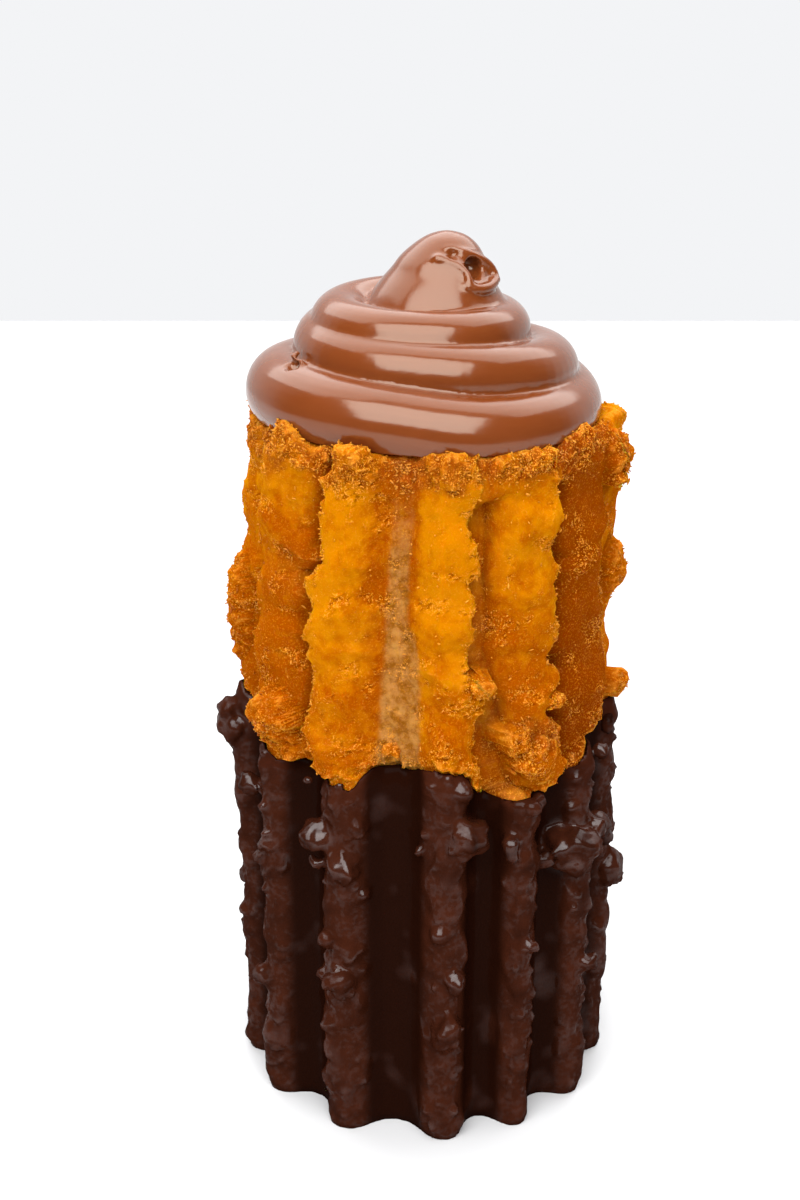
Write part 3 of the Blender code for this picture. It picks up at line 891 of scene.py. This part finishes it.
def with_knobs(angles, heights, radii, knobs):
    """The rings' radii with lumpy knobs standing out of them, and how far each point is in one."""
    inside = np.zeros_like(radii)
    for index, (angle, height, out, size, stretch) in enumerate(knobs):
        across = np.radians(turn_from(angle, angles)) * out / size
        up = (heights - height) / (size * stretch)
        near = np.nonzero(np.hypot(across, up) < 1.6)
        spots = np.stack((across[near], up[near], np.full(len(near[0]), 3.7 * index)), 1)
        away = np.hypot(across[near], up[near])
        away *= 1 - 0.30 * noise_at(spots, 0.8, 1.0) - 0.16 * noise_at(spots, 0.35, 2.0)
        ball = out + size * np.sqrt(np.clip(1 - away**2, 0, 1))
        radii[near] = np.where(away < 1, np.maximum(radii[near], ball), radii[near])
        inside[near] = np.maximum(inside[near], 1 - steps(away, 0.8, 1.15))
    return radii, inside


def rib_tone(rib, levels):
    """How golden a rib is at each of the levels."""
    high, deep, turning = TONES[rib]
    share = (levels - DOUGH_LOW) / (levels[-1] - DOUGH_LOW)
    return deep + (high - deep) * steps(share, turning - 0.3, turning + 0.3)


def rib_columns(rib, levels, start, end, section):
    """A fried rib's columns of points: angles, how far out, how golden and how torn they are."""
    lean = LEANS[rib]
    width = (end - start) % 360
    spots = [(5.1 * rib, 3.3, level) for level in levels]
    ragged = noise_at(spots, TEAR_SIZES[0], 0) + 0.6 * noise_at(spots, TEAR_SIZES[1], 0)
    swell = noise_along(levels, 5.1 * rib, 9.1, SWELL_SIZE)
    tone = rib_tone(rib, levels)
    full_gold = GOLD_BY_CRUMB if rib == PALE_CREASE + 1 else GOLD_RISE[1]
    columns = []
    for part, rise in section[:-1] if lean < 0 else section[:0:-1]:
        lip = math.exp(-(((part - LIP[0]) / LIP[1]) ** 2)) * float(steps(rise, *LIP_RISE))
        shift = TEAR * lip * ragged
        angles = start + part * width - shift if lean < 0 else end - part * width + shift
        towards = lean if part < TORN_SHARE else -lean
        crease = rib if towards > 0 else rib - 1
        floor = CREASE_FLOORS.get(crease, CREASE_FLOOR)
        if crease == PALE_CREASE and part > TORN_SHARE:
            rise = min(rise, 1 - float(steps(part, TORN_SHARE, SLOPE_END)))
        rise = floor + (1 - floor) * rise
        bulge = rise * swell * (SWELLS[0] * (1 - part) + SWELLS[1] * part * (1 - part))
        # Gold grows with the rise: crests lighter than flanks, partly painted light
        gold = np.where(tone > 0, tone * float(steps(rise, GOLD_RISE[0], full_gold)), tone)
        columns.append((angles, rise + bulge, gold, np.full(len(levels), lip)))
    return columns


def dough_columns(levels):
    """The columns of all the ribs and creases, each of the four values as a grid of rings."""
    left, right = rib_edges(levels)
    meeting = (right[PALE_CREASE] + left[PALE_CREASE + 1]) / 2
    right[PALE_CREASE], left[PALE_CREASE + 1] = meeting - 0.6, meeting + 0.6
    section = section_steps()
    columns = []
    for rib in range(len(RIBS)):
        columns += rib_columns(rib, levels, left[rib], right[rib], section)
        gap = turn_from(right[rib], left[(rib + 1) % len(RIBS)])
        floor = np.full(len(levels), CREASE_FLOORS.get(rib, CREASE_FLOOR))
        # The creases keep less of the rib's tone than its crest: painted shade
        gold = 0.3 * rib_tone(rib, levels)
        for step in range(VALLEY_STEPS):
            angles = right[rib] + step / VALLEY_STEPS * gap
            columns.append((angles, floor, gold, np.zeros(len(levels))))
    return [np.array(grid).T for grid in zip(*columns)]


def with_collar(angles, levels, rises):
    """How far out the points are once the torn collar fills the creases' tops."""
    wide, high = COLLAR_LUMPS
    spots = np.stack((angles / wide, np.broadcast_to(levels[:, None] / high, angles.shape)), 2)
    spots = np.concatenate((spots, np.zeros((*angles.shape, 1))), 2).reshape(-1, 3)
    edge = noise_at(spots, 1.0, 9.0).reshape(angles.shape)
    collar = steps(levels[:, None] + COLLAR_RAGGED * edge, *COLLAR_GROWS)
    collar *= np.interp(angles, COLLAR[0], COLLAR[1])
    return rises + (COLLAR_OUT + COLLAR_VARIES * edge - rises).clip(0) * collar


def closed(grid, cap=None):
    """The rings with the lowest one doubled for the foot, and with those that close the top."""
    cap = np.repeat(grid[-1:], len(TOP_SHRINK), 0) if cap is None else cap
    return np.concatenate((grid[:1], grid, cap))


def dough_rings(settings):
    """Angles, radii, heights and named values of the dough's rings, foot first."""
    levels = np.linspace(DOUGH_LOW, DOUGH_TOP + DOUGH_PAST_TOP, DOUGH_ROWS + 1)
    angles, rises, golds, lips = dough_columns(levels)
    pales = pale_crease(once_round(angles), levels)
    rises = with_collar(once_round(angles), levels, rises)
    tops = rib_tops(angles)
    shares = (levels - DOUGH_LOW) / (levels[-1] - DOUGH_LOW)
    heights = DOUGH_LOW + shares[:, None] * (tops - DOUGH_LOW)
    radii = settings.valley + (settings.crest - settings.valley) * rises
    for angle, reach, start, end, depth in TRIMS:
        beside = np.abs(turn_from(angle, angles))
        radii -= depth * (1 - steps(beside, reach / 2, reach)) * steps(heights, start, end)
    radii, knobby = with_knobs(angles, heights, radii, DOUGH_KNOBS)
    pales *= 1 - knobby
    dipped = dipped_radius(angles, DIPPED_CREST, DIPPED_VALLEY)
    radii = dipped + (radii - dipped) * steps(heights - dip_line(angles), 0, OUT_OF_DIP)
    above = np.clip((heights - (tops - SHOULDER)) / SHOULDER, 0, 1)
    radii -= SHOULDER_DEPTH * (1 - np.sqrt(1 - np.minimum(above, 0.995) ** 2))
    sink = np.array(TOP_SINK)[:, None]
    heights = closed(heights, heights[-1] + (DOUGH_TOP - heights[-1]) * sink)
    heights[0] = DOUGH_FOOT
    radii = closed(radii, radii[-1] * np.array(TOP_SHRINK)[:, None])
    layers = {"rib": rises, "gold": golds, "pale": pales, "lip": lips, "knobby": knobby}
    layers = {name: closed(grid) for name, grid in layers.items()}
    return closed(angles), radii, heights, layers


def rough_dough(item, settings):
    """Lumps, layers, crisp grain and torn spikes, then the values that its colours follow."""
    mesh = item.data
    places, normals = read_points(mesh)
    lip, knobby = read_attribute(mesh, "lip"), read_attribute(mesh, "knobby")
    pale = read_attribute(mesh, "pale")
    angles = angles_of(places)
    radius = np.hypot(places[:, 0], places[:, 1])
    above = places[:, 2] - dip_line(angles)
    free = steps(above, 0.0, OUT_OF_DIP)
    inner = 1 - steps(radius, *UNDER_CREAM) * steps(places[:, 2], 0.09, 0.0955)
    inner = np.where(places[:, 2] > UNDER_CREAM_HEIGHT, inner, 0)
    toast = steps(places[:, 2] + 0.0022 * noise_at(places, 0.0026, 8.0), *COLLAR_BROWNS)
    starts, ends = GOLDEN_COLLAR
    toast *= 1 - 0.75 * steps(angles, *starts) * (1 - steps(angles, *ends))

    ragged = 0.25 * noise_at(places, 0.0012, 18.0)
    for angle, height, reach, amount in BROWNED:
        away = away_from(point_at(angle, settings.crest, height), places)
        toast = np.maximum(toast, amount * (1 - steps(away / reach + ragged, 0.5, 1.1)))

    lumps = noise_at(places, 0.0046, 1.0) + 0.75 * noise_at(places, 0.0021, 2.0)
    layered = noise_at(places * (0.30, 0.30, 1), 0.0010, 3.0)
    fine = noise_at(places, 0.00070, 4.0) + 0.8 * noise_at(places * (0.6, 0.6, 1), 0.00038, 5.0)
    patches = steps(noise_at(places, 0.0034, 6.0) + 0.5 * noise_at(places, 0.0015, 6.5), 0.0, 0.5)
    crisp = np.maximum(toast, knobby)
    hem = 1 - steps(above + 0.0016 * noise_at(places, 0.0018, 20.0), 0.0008, 0.0034)
    rough = np.clip(0.12 + 0.75 * patches + 0.4 * crisp + 0.5 * lip + 0.6 * hem, 0, 1.2)
    torn = np.clip(noise_at(places, 0.0010, 7.0) - 0.14, 0, 1)
    torn *= 0.05 + 0.9 * lip + 0.4 * crisp + 0.30 * patches + 0.6 * hem
    pits = np.clip(noise_at(places * (1, 1, 1.7), 0.0011, 15.0) - 0.12, 0, 1) * pale

    push = settings.lumps * lumps * 0.7 + 0.00018 * layered * patches * (1 - crisp)
    push += settings.grain * fine * rough + settings.spikes * torn - 0.0006 * pits
    push += 0.0006 * crisp * noise_at(places, 0.0015, 16.0)
    frayed = 0.0002 + 0.0008 * noise_at(places, 0.0021, 17.0)
    frayed += 0.0006 * noise_at(places, 0.0010, 19.0)
    push += frayed * (1 - steps(above, 0.0004, 0.0026))
    push *= free * (1 - inner)
    places += normals * push[:, None]
    write_points(mesh, places)

    places, normals = read_points(mesh)
    # How far each point stands out; the colours paint shade into its hollows and glints onto its
    # points
    sharp = pointed(mesh, places, normals)
    write_attribute(mesh, "sharp", np.clip(sharp / 0.00010, -1, 1))
    write_attribute(mesh, "toast", toast)
    write_attribute(mesh, "rough", np.clip(rough, 0, 1))


def dough_material(settings):
    """Golden ribs with browned tips, pale open crumb and crisp flecks, with painted shade and
    glints.
    """
    material, net = new_net("fried dough")
    place = net.place()
    wide = net.noise(place, 260.0)
    mid = net.noise(place, 900.0, 3.0)
    fine = net.noise(place, 4200.0, 3.0, 0.6)
    rib = net.attribute("rib")
    sharp = net.attribute("sharp")
    rough = net.attribute("rough")
    blotch = net.between(mid, 0.36, 0.64)
    cloud = net.between(wide, 0.36, 0.64)
    # Gold lightens the crests against orange flanks, partly painted light; clouds and blotches
    # vary it at random
    golden = (net.attribute("gold") + (cloud - 0.5) * 0.55 + (blotch - 0.5) * 0.35).clamped()
    colour = net.mix(golden, settings.orange, settings.golden)
    # Painted shade: the colour darkens towards deep down in the creases, where the rib sinks,
    # except in the open crumb
    depth = (1 - net.between(rib + (blotch - 0.5) * 0.2, 0.0, 0.6)) * (1 - net.attribute("pale"))
    colour = net.mix(depth * 0.35, colour, settings.deep)
    # Tone below 0 goes towards deep: browned on some ribs' lower ends, painted shade on the sixth
    # rib
    browned_and_shaded = (0 - net.attribute("gold")).clamped()
    colour = net.mix(browned_and_shaded, colour, settings.deep)
    colour = net.mix(net.attribute("knobby") * 0.5, colour, settings.orange)
    # Painted shade: the open crumb darkens in a noise pattern, standing in for its hollows
    open_crumb = net.between(net.noise(place, 640.0, 4.0, 0.65), 0.34, 0.70)
    crumb = net.mix(open_crumb, settings.crumb_shade, settings.crumb)
    pale = net.between(net.attribute("pale") + (cloud - 0.5) * 0.2, 0.0, 1.0)
    colour = net.mix(pale * 0.9, colour, crumb)
    toast = (net.attribute("toast") * (0.4 + blotch)).clamped()
    colour = net.mix(toast * 0.8, colour, settings.toasted)
    # Painted shade: hollows, where a point sits below its neighbours, take the deep colour, most
    # in rough patches
    hollow = net.between(0.15 - sharp, 0.1, 0.9) * (1 - net.attribute("pale") * 0.7)
    colour = net.mix(hollow * (0.15 + rough * 0.6), colour, settings.deep)
    # Painted glints: pale flecks on the fine grain of rough patches and on points that stand out
    grains = net.between(fine, 0.52, 0.64) * (0.2 + rough * rough * 0.85)
    fleck_and_glint = (grains + net.between(sharp, 0.4, 1.1) * 0.35).clamped()
    colour = net.mix(fleck_and_glint * 0.9, colour, settings.fleck_and_glint)
    bump = net.bump(fine + mid * 0.6, 0.0002, 0.45)
    finish_material(net, {
        "Base Color": colour,
        "Roughness": 0.34 + blotch * 0.2,
        "Coat Weight": grains * 0.25,
        "Coat Roughness": 0.22,
        "Normal": bump,
        "Subsurface Weight": 0.75,
        "Subsurface Radius": (1.0, 0.42, 0.10),
        "Subsurface Scale": 0.0010,
        "Specular IOR Level": 0.0,
    })
    return material


class CHURRO_OT_dough(bpy.types.Operator):
    """Make the ribbed fried dough"""

    bl_idname = "churro.dough"
    bl_label = "Fried dough"

    def execute(self, context):
        settings = context.scene.churro_dough
        item = new_object("fried_dough", wrapped_grid(*dough_rings(settings)))
        rough_dough(item, settings)
        finish_piece(item, dough_material(settings))
        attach(item, BODY)
        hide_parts("dough")
        return {"FINISHED"}


# Crisp crumbs


def crumb_chances(places, values):
    """How likely a crumb is at each point of the dough: most where it is crisp and torn."""
    above = places[:, 2] - dip_line(angles_of(places))
    hidden = steps(places[:, 2], 0.0945, 0.0955)
    hidden *= 1 - steps(np.hypot(places[:, 0], places[:, 1]), 0.0212, 0.0222)
    clumps = steps(noise_at(places, 0.0021, 21.0), -0.1, 0.35)
    likely = 0.04 + 0.9 * values["rough"] ** 2 + 0.9 * values["toast"] + 0.7 * values["knobby"]
    likely = (likely + 0.5 * values["lip"]) * (0.12 + clumps)
    likely *= steps(above, 0.0002, 0.0010) * (1 - hidden) * (1 - 0.4 * values["pale"])
    likely *= 1 - 0.6 * np.clip(-values["gold"], 0, 1)
    return likely / likely.sum()


def scatter_crumbs(dough, settings):
    """Tiny crumbs and shreds stuck to the crisp parts of the dough, as one mesh."""
    places, normals = read_points(dough.data)
    coloured = ("gold", "pale", "toast", "knobby")
    values = {name: read_attribute(dough.data, name) for name in (*coloured, "rough", "lip")}
    draw = np.random.default_rng(CRUMB_SEED)
    count = settings.crumbs
    chosen = draw.choice(len(places), count, replace=False, p=crumb_chances(places, values))

    bm = bmesh.new()
    bmesh.ops.create_icosphere(bm, subdivisions=1, radius=1)
    unit = np.array([vert.co for vert in bm.verts])
    item = new_object("crisp_crumbs", bm)
    repeat = item.modifiers.new("Repeat", "ARRAY")
    repeat.count = count
    repeat.use_relative_offset = False
    repeat.use_constant_offset = True
    repeat.constant_offset_displace = (3, 0, 0)
    bake_modifiers(item)

    corners = unit[None] * (1 + 0.35 * draw.uniform(-1, 1, (count, len(unit), 1)))
    size = settings.crumb_size * draw.uniform(0.45, 1.25, (count, 1)) ** 1.3
    shred = draw.random((count, 1)) < SHRED_SHARE
    long = np.where(shred, draw.uniform(*SHRED_LENGTHS, (count, 1)), CRUMB_LENGTH)
    shape = size * np.concatenate((long, 0.5 + 0.4 * draw.random((count, 2))), 1)
    turns, _ = np.linalg.qr(draw.normal(size=(count, 3, 3)))
    corners = np.einsum("nij,nkj->nki", turns, corners * shape[:, None])
    spots = places[chosen] + normals[chosen] * size * draw.uniform(0.0, 0.7, (count, 1))
    write_points(item.data, (corners + spots[:, None]).reshape(-1, 3))
    for name in coloured:
        write_attribute(item.data, name, np.repeat(values[name][chosen], len(unit)))
    write_attribute(item.data, "sharp", np.repeat(draw.uniform(0.0, 1.0, count), len(unit)))
    return item


def crumb_material(settings):
    """Each crumb takes the colours of the dough that it sits on."""
    material, net = new_net("crisp crumbs")
    golden = (net.attribute("gold") + 0.1).clamped()
    colour = net.mix(golden, settings.orange, settings.golden)
    crisp = (net.attribute("toast") + net.attribute("knobby")).clamped()
    colour = net.mix(crisp * 0.45, colour, settings.toasted)
    colour = net.mix(net.attribute("pale") * 0.7, colour, settings.crumb)
    colour = net.mix(net.attribute("sharp") * 0.65, colour, settings.fleck_and_glint)
    finish_material(net, {
        "Base Color": colour,
        "Roughness": 0.5,
        "Coat Weight": 0.3,
        "Coat Roughness": 0.22,
        "Specular IOR Level": 0.0,
    })
    return material


class CHURRO_OT_crumbs(bpy.types.Operator):
    """Scatter crisp crumbs over the fried dough"""

    bl_idname = "churro.crumbs"
    bl_label = "Crisp crumbs"

    def execute(self, context):
        dough = bpy.data.objects["fried_dough"]
        item = scatter_crumbs(dough, context.scene.churro_crumbs)
        finish_piece(item, crumb_material(context.scene.churro_dough))
        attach(item, BODY)
        return {"FINISHED"}


# Chocolate dip


def dip_body(settings):
    """The dipped end as a filled body, its ribs plain."""
    angles = ring_angles(DIP_COLUMNS)
    line = dip_line(angles)
    radius = dipped_radius(angles, settings.crest, settings.valley)
    heights = np.linspace(0, 1, DIP_ROWS + 1)[:, None] * line
    foot = np.clip(1 - heights / DIP_FOOT[0], 0, 1)
    lip = np.clip(1 - (line - heights) / DIP_LIP[0], 0, 1)
    thin = steps(heights - line, -DIP_EDGE[0], 0)
    radii = radius - DIP_FOOT[1] * foot**2 - DIP_LIP[1] * lip**2 - DIP_EDGE[1] * thin
    return wrapped_grid(angles, radii, heights)


def dip_cutter(settings):
    """What the dough takes up inside the cup."""
    bm = bmesh.new()
    made = bmesh.ops.create_circle(bm, cap_ends=True, segments=CUTTER_COLUMNS, radius=1)
    angles = ring_angles(CUTTER_COLUMNS)
    radius = dipped_radius(angles, DIPPED_CREST + GAP, DIPPED_VALLEY + GAP)
    for vert, angle, out in zip(made["verts"], angles, radius):
        vert.co = point_at(angle, out, settings.floor)
    lifted = bmesh.ops.extrude_discrete_faces(bm, faces=bm.faces[:])["faces"][0]
    for vert in lifted.verts:
        vert.co.z = CUTTER_TOP
    close_holes(bm)
    return new_object("dip_cutter", bm)


def rough_dip(item, settings):
    """Soft lumps and drops, then the values that its colour and gloss follow."""
    mesh = item.data
    places, normals = read_points(mesh)
    angles = angles_of(places)
    radius = np.hypot(places[:, 0], places[:, 1])
    outer = dipped_radius(angles, settings.crest, settings.valley)
    mean = (settings.crest + settings.valley) / 2
    rise = np.clip((outer - mean) / (settings.crest - settings.valley) * 2, -1, 1)
    outside = steps(radius - outer, -0.0014, -0.0008) * steps(places[:, 2], 0.0006, 0.002)
    ridge = steps(rise, -0.35, 0.5)
    lumps = noise_at(places * (1, 1, 0.8), 0.0048, 11.0)
    lumps = np.clip(lumps + 0.45 * noise_at(places, 0.0022, 12.0), -0.25, 1)
    drops = noise_at(places, 0.0015, 13.0) + 0.3 * noise_at(places, 0.0060, 14.0)
    drops = np.clip(drops - 0.36, 0, 1) ** 0.8
    push = settings.lumps * lumps * (0.12 + 0.88 * ridge)
    push += settings.drops * drops * (0.1 + ridge) * 1.7
    places += normals * (push * outside)[:, None]
    places[:, 2] = np.maximum(places[:, 2], 0)
    write_points(mesh, places)
    gloss = np.clip(2.2 * drops * ridge + 0.8 * np.clip(lumps - 0.25, 0, 1), 0, 1)
    for angle, height, out, size, _ in CHOCOLATE_KNOBS + CHOCOLATE_DROPS:
        away = away_from(point_at(angle, out, height), places)
        gloss = np.maximum(gloss, 0.9 * (1 - steps(away, size * 0.9, size * 1.4)))
    normals = read_points(mesh)[1]
    # The ridge value lightens the colour; valleys left low take painted shade
    write_attribute(mesh, "ridge", np.maximum(ridge, gloss))
    write_attribute(mesh, "gloss", gloss * steps(normals[:, 2], -0.25, 0.2))


def dip_material(settings):
    """Set chocolate, satin on its ridges and glossy on its lumps and drops, darker in the valleys
    as painted shade.
    """
    material, net = new_net("dark chocolate")
    place = net.place()
    wide = net.noise(place, 300.0)
    fine = net.noise(place, 1500.0, 3.0)
    ridge = net.attribute("ridge")
    facing = net.add("ShaderNodeLayerWeight")("Facing")
    gloss = net.attribute("gloss") * (1 - facing).clamped()
    # Painted shade: the valleys take the dark colour, the ridges and knobs the light one, mottled
    # at random
    shade = (ridge * (0.05 + wide * 1.5)).clamped()
    satin = ridge * net.between(fine + (wide - 0.5) * 0.6, 0.46, 0.66)
    colour = net.mix(shade, settings.dark, settings.light)
    bump = net.bump(wide + fine * 0.3, 0.0003, 0.5)
    finish_material(net, {
        "Base Color": colour,
        "Roughness": 0.34 + 0.2 * fine,
        "Specular IOR Level": 0.0,
        "Coat Weight": (0.02 + satin * 0.16 + gloss * 0.75).clamped(),
        "Coat Roughness": 0.18,
        "Normal": bump,
    })
    return material


class CHURRO_OT_dip(bpy.types.Operator):
    """Make the cup of dark chocolate round the lower half"""

    bl_idname = "churro.dip"
    bl_label = "Chocolate dip"

    def execute(self, context):
        settings = context.scene.churro_dip
        bm = dip_body(settings)
        for index, knob in enumerate(CHOCOLATE_KNOBS + CHOCOLATE_DROPS):
            add_knob(bm, knob, index + 20)
        item = new_object("dark_chocolate_dip", bm)
        remesh(item, settings.fineness, 1)
        keep_above_foot(item, DIP_CUT, 0)
        rough_dip(item, settings)
        cutter = dip_cutter(settings)
        hollow = item.modifiers.new("Hollow", "BOOLEAN")
        hollow.operation = "DIFFERENCE"
        hollow.object = cutter
        hollow.solver = "EXACT"
        bake_modifiers(item)
        bpy.data.objects.remove(cutter)
        finish_piece(item, dip_material(settings))
        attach(item, BODY)
        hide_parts("chocolate_dip")
        return {"FINISHED"}


# Cream swirl


def swirl_route():
    """Middle points and radii of the piped bead, from its start to its end under the tip."""
    stations = smooth_route(SWIRL_STATIONS, SWIRL_STEPS)
    return [(*point_at(90 - 360 * turns, out, height), radius)
            for turns, out, height, radius in stations]


def lean_back(height):
    """How far back the tip leans at this height."""
    most, start, end = TIP_LEAN
    return most * float(steps(height, start, end))


def tip_mesh():
    """The pulled tip of the cream, a leaning cone with a round top."""
    middles, heights, radii = np.array(smooth_route(TIP_RINGS, FOLD_STEPS)).T
    angles = 360 * np.arange(TIP_RING_STEPS) / TIP_RING_STEPS
    bm = wrapped_grid(angles, radii[:, None], heights[:, None])
    for vert in bm.verts:
        vert.co.x += np.interp(vert.co.z, heights, middles)
        vert.co.y = vert.co.y * TIP_DEPTH + lean_back(vert.co.z)
    return bm


def bead_mesh(routes):
    """Round beads along their routes, with round ends, as one mesh."""
    curve = bpy.data.curves.new("bead", "CURVE")
    curve.dimensions = "3D"
    curve.bevel_depth = 1.0
    curve.bevel_resolution = 12
    curve.use_fill_caps = True
    for route in routes:
        spline = curve.splines.new("POLY")
        spline.points.add(len(route) - 1)
        for point, (x, y, z, radius) in zip(spline.points, route):
            point.co = (x, y, z, 1.0)
            point.radius = radius
    bead = link_object("bead", curve)
    graph = bpy.context.evaluated_depsgraph_get()
    mesh = bpy.data.meshes.new_from_object(bead.evaluated_get(graph))
    bpy.data.objects.remove(bead)
    bpy.data.curves.remove(curve)
    bm = bmesh.new()
    bm.from_mesh(mesh)
    bpy.data.meshes.remove(mesh)
    bmesh.ops.remove_doubles(bm, verts=bm.verts, dist=0.000005)
    for route in routes:
        for x, y, z, radius in (route[0], route[-1]):
            ball = bmesh.ops.create_icosphere(bm, subdivisions=3, radius=radius)
            bmesh.ops.translate(bm, vec=(x, y, z), verts=ball["verts"])
    return bm


def press_dents(mesh, dents):
    """The surface sinks at each dent."""
    for x, y, z, reach, depth in dents:
        places, normals = read_points(mesh)
        away = away_from((x, y + lean_back(z), z), places)
        write_points(mesh, places - normals * (depth * (1 - steps(away, 0, reach)))[:, None])


def cream_material(settings):
    """Glossy chocolate cream with soft waves."""
    material, net = new_net("chocolate cream")
    place = net.place()
    wide = net.noise(place, 180.0)
    fine = net.noise(place, 1600.0)
    lighter = tuple(min(1.0, 1.18 * part) for part in settings.cream)
    colour = net.mix(wide, settings.cream, lighter)
    waves = net.noise(place, 125.0, 1.0)
    bump = net.bump(waves + fine * 0.03, 0.0006, 0.3)
    finish_material(net, {
        "Base Color": colour,
        "Roughness": 0.14 + 0.06 * wide,
        "Subsurface Weight": 0.15,
        "Subsurface Radius": (1.0, 0.5, 0.3),
        "Subsurface Scale": 0.0009,
        "Specular IOR Level": 0.57,
        "Specular Tint": (1.0, 0.94, 0.80),
        "Normal": bump,
    })
    return material


class CHURRO_OT_swirl(bpy.types.Operator):
    """Make the piped swirl of chocolate cream"""

    bl_idname = "churro.swirl"
    bl_label = "Cream swirl"

    def execute(self, context):
        settings = context.scene.churro_swirl
        folds = []
        for fold in TIP_FOLDS:
            route = smooth_route(fold, FOLD_STEPS)
            folds.append([(x, y + lean_back(z), z, radius) for x, y, z, radius in route])
        bm = bead_mesh([swirl_route(), *folds])
        foot, wide, top, narrow = SWIRL_CORE
        cone = bmesh.ops.create_cone(
            bm, cap_ends=True, segments=64, radius1=wide, radius2=narrow, depth=top - foot
        )
        bmesh.ops.translate(bm, vec=(0, 0, (top + foot) / 2), verts=cone["verts"])
        tip = new_object("tip", tip_mesh())
        bm.from_mesh(tip.data)
        bpy.data.objects.remove(tip)
        item = new_object("chocolate_cream_swirl", bm)
        remesh(item, settings.fineness, settings.settle)
        press_dents(item.data, SWIRL_DENTS)
        keep_above_foot(item, SWIRL_FOOT, SWIRL_FOOT)
        finish_piece(item, cream_material(settings))
        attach(item, BODY)
        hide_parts("chocolate_swirl")
        return {"FINISHED"}


# Stage


def add_softbox(name, place, size, radiance):
    light = bpy.data.lights.new(name, "AREA")
    light.shape = "RECTANGLE"
    light.size, light.size_y = size
    light.energy = 4 * radiance * size[0] * size[1]
    item = link_object(name, light)
    item.location = place
    towards = Vector(SOFTBOX_AIM) - Vector(place)
    item.rotation_euler = towards.to_track_quat("-Z", "Y").to_euler()


class CHURRO_OT_stage(bpy.types.Operator):
    """Set up the floor, the backdrop, the lights and the camera"""

    bl_idname = "churro.stage"
    bl_label = "Stage"

    def execute(self, context):
        scene = context.scene
        settings = scene.churro_stage
        bm = bmesh.new()
        bmesh.ops.create_grid(bm, x_segments=1, y_segments=1, size=settings.reach)
        bmesh.ops.scale(bm, vec=(FLOOR_STRETCH, 1, 1), verts=bm.verts)
        bmesh.ops.translate(bm, vec=(0, 0, -FLOOR_GAP), verts=bm.verts)
        floor = new_object("stage_floor", bm)
        material, net = new_net("floor")
        finish_material(net, {"Base Color": settings.floor, "Roughness": 0.7})
        finish_piece(floor, material)

        world = bpy.data.worlds.new("studio")
        scene.world = world
        world.use_nodes = True
        net = Net(world.node_tree)
        net.tree.nodes.clear()
        direction = net.add("ShaderNodeTexCoord")("Generated")
        parts = net.add("ShaderNodeSeparateXYZ", None, {0: direction})
        behind = net.between(parts("Y"), *STUDIO_FADE)
        light = net.mix(behind, STUDIO_FRONT, STUDIO_BACK)
        seen = net.add("ShaderNodeLightPath")("Is Camera Ray")
        colour = net.mix(seen, light, settings.backdrop)
        shade = net.add("ShaderNodeBackground", None, {"Color": colour})("Background")
        net.add("ShaderNodeOutputWorld", None, {"Surface": shade})

        for softbox in SOFTBOXES:
            add_softbox(*softbox)

        camera = bpy.data.cameras.new("camera")
        camera.lens = CAMERA_LENS
        camera.sensor_width = 36
        camera.clip_start = 0.01
        item = link_object("camera", camera)
        item.location = CAMERA_PLACE
        item.rotation_euler = (math.radians(CAMERA_TILT), 0, 0)
        scene.camera = item
        scene.view_settings.view_transform = "Standard"
        return {"FINISHED"}


# Panel and registration


class CHURRO_PT_panel(bpy.types.Panel):
    """Lists the pieces of the churro"""

    bl_idname = "CHURRO_PT_panel"
    bl_label = "Churro"
    bl_space_type = "VIEW_3D"
    bl_region_type = "UI"
    bl_category = "Churro"

    def draw(self, context):
        for name, group, operator in STEPS:
            box = self.layout.box()
            for key in group.__annotations__:
                box.prop(getattr(context.scene, name), key)
            box.operator(operator.bl_idname)


STEPS = (
    ("churro_dough", DoughSettings, CHURRO_OT_dough),
    ("churro_crumbs", CrumbSettings, CHURRO_OT_crumbs),
    ("churro_dip", DipSettings, CHURRO_OT_dip),
    ("churro_swirl", SwirlSettings, CHURRO_OT_swirl),
    ("churro_stage", StageSettings, CHURRO_OT_stage),
)
CLASSES = (*(item for step in STEPS for item in step[1:]), CHURRO_PT_panel)


def register():
    for item in CLASSES:
        bpy.utils.register_class(item)
    for name, group, _ in STEPS:
        setattr(bpy.types.Scene, name, PointerProperty(type=group))


def unregister():
    for name, _, _ in STEPS:
        delattr(bpy.types.Scene, name)
    for item in reversed(CLASSES):
        bpy.utils.unregister_class(item)


def main():
    register()
    bpy.ops.churro.dough()
    bpy.ops.churro.crumbs()
    bpy.ops.churro.dip()
    bpy.ops.churro.swirl()
    bpy.ops.churro.stage()


if __name__ == "__main__":
    main()
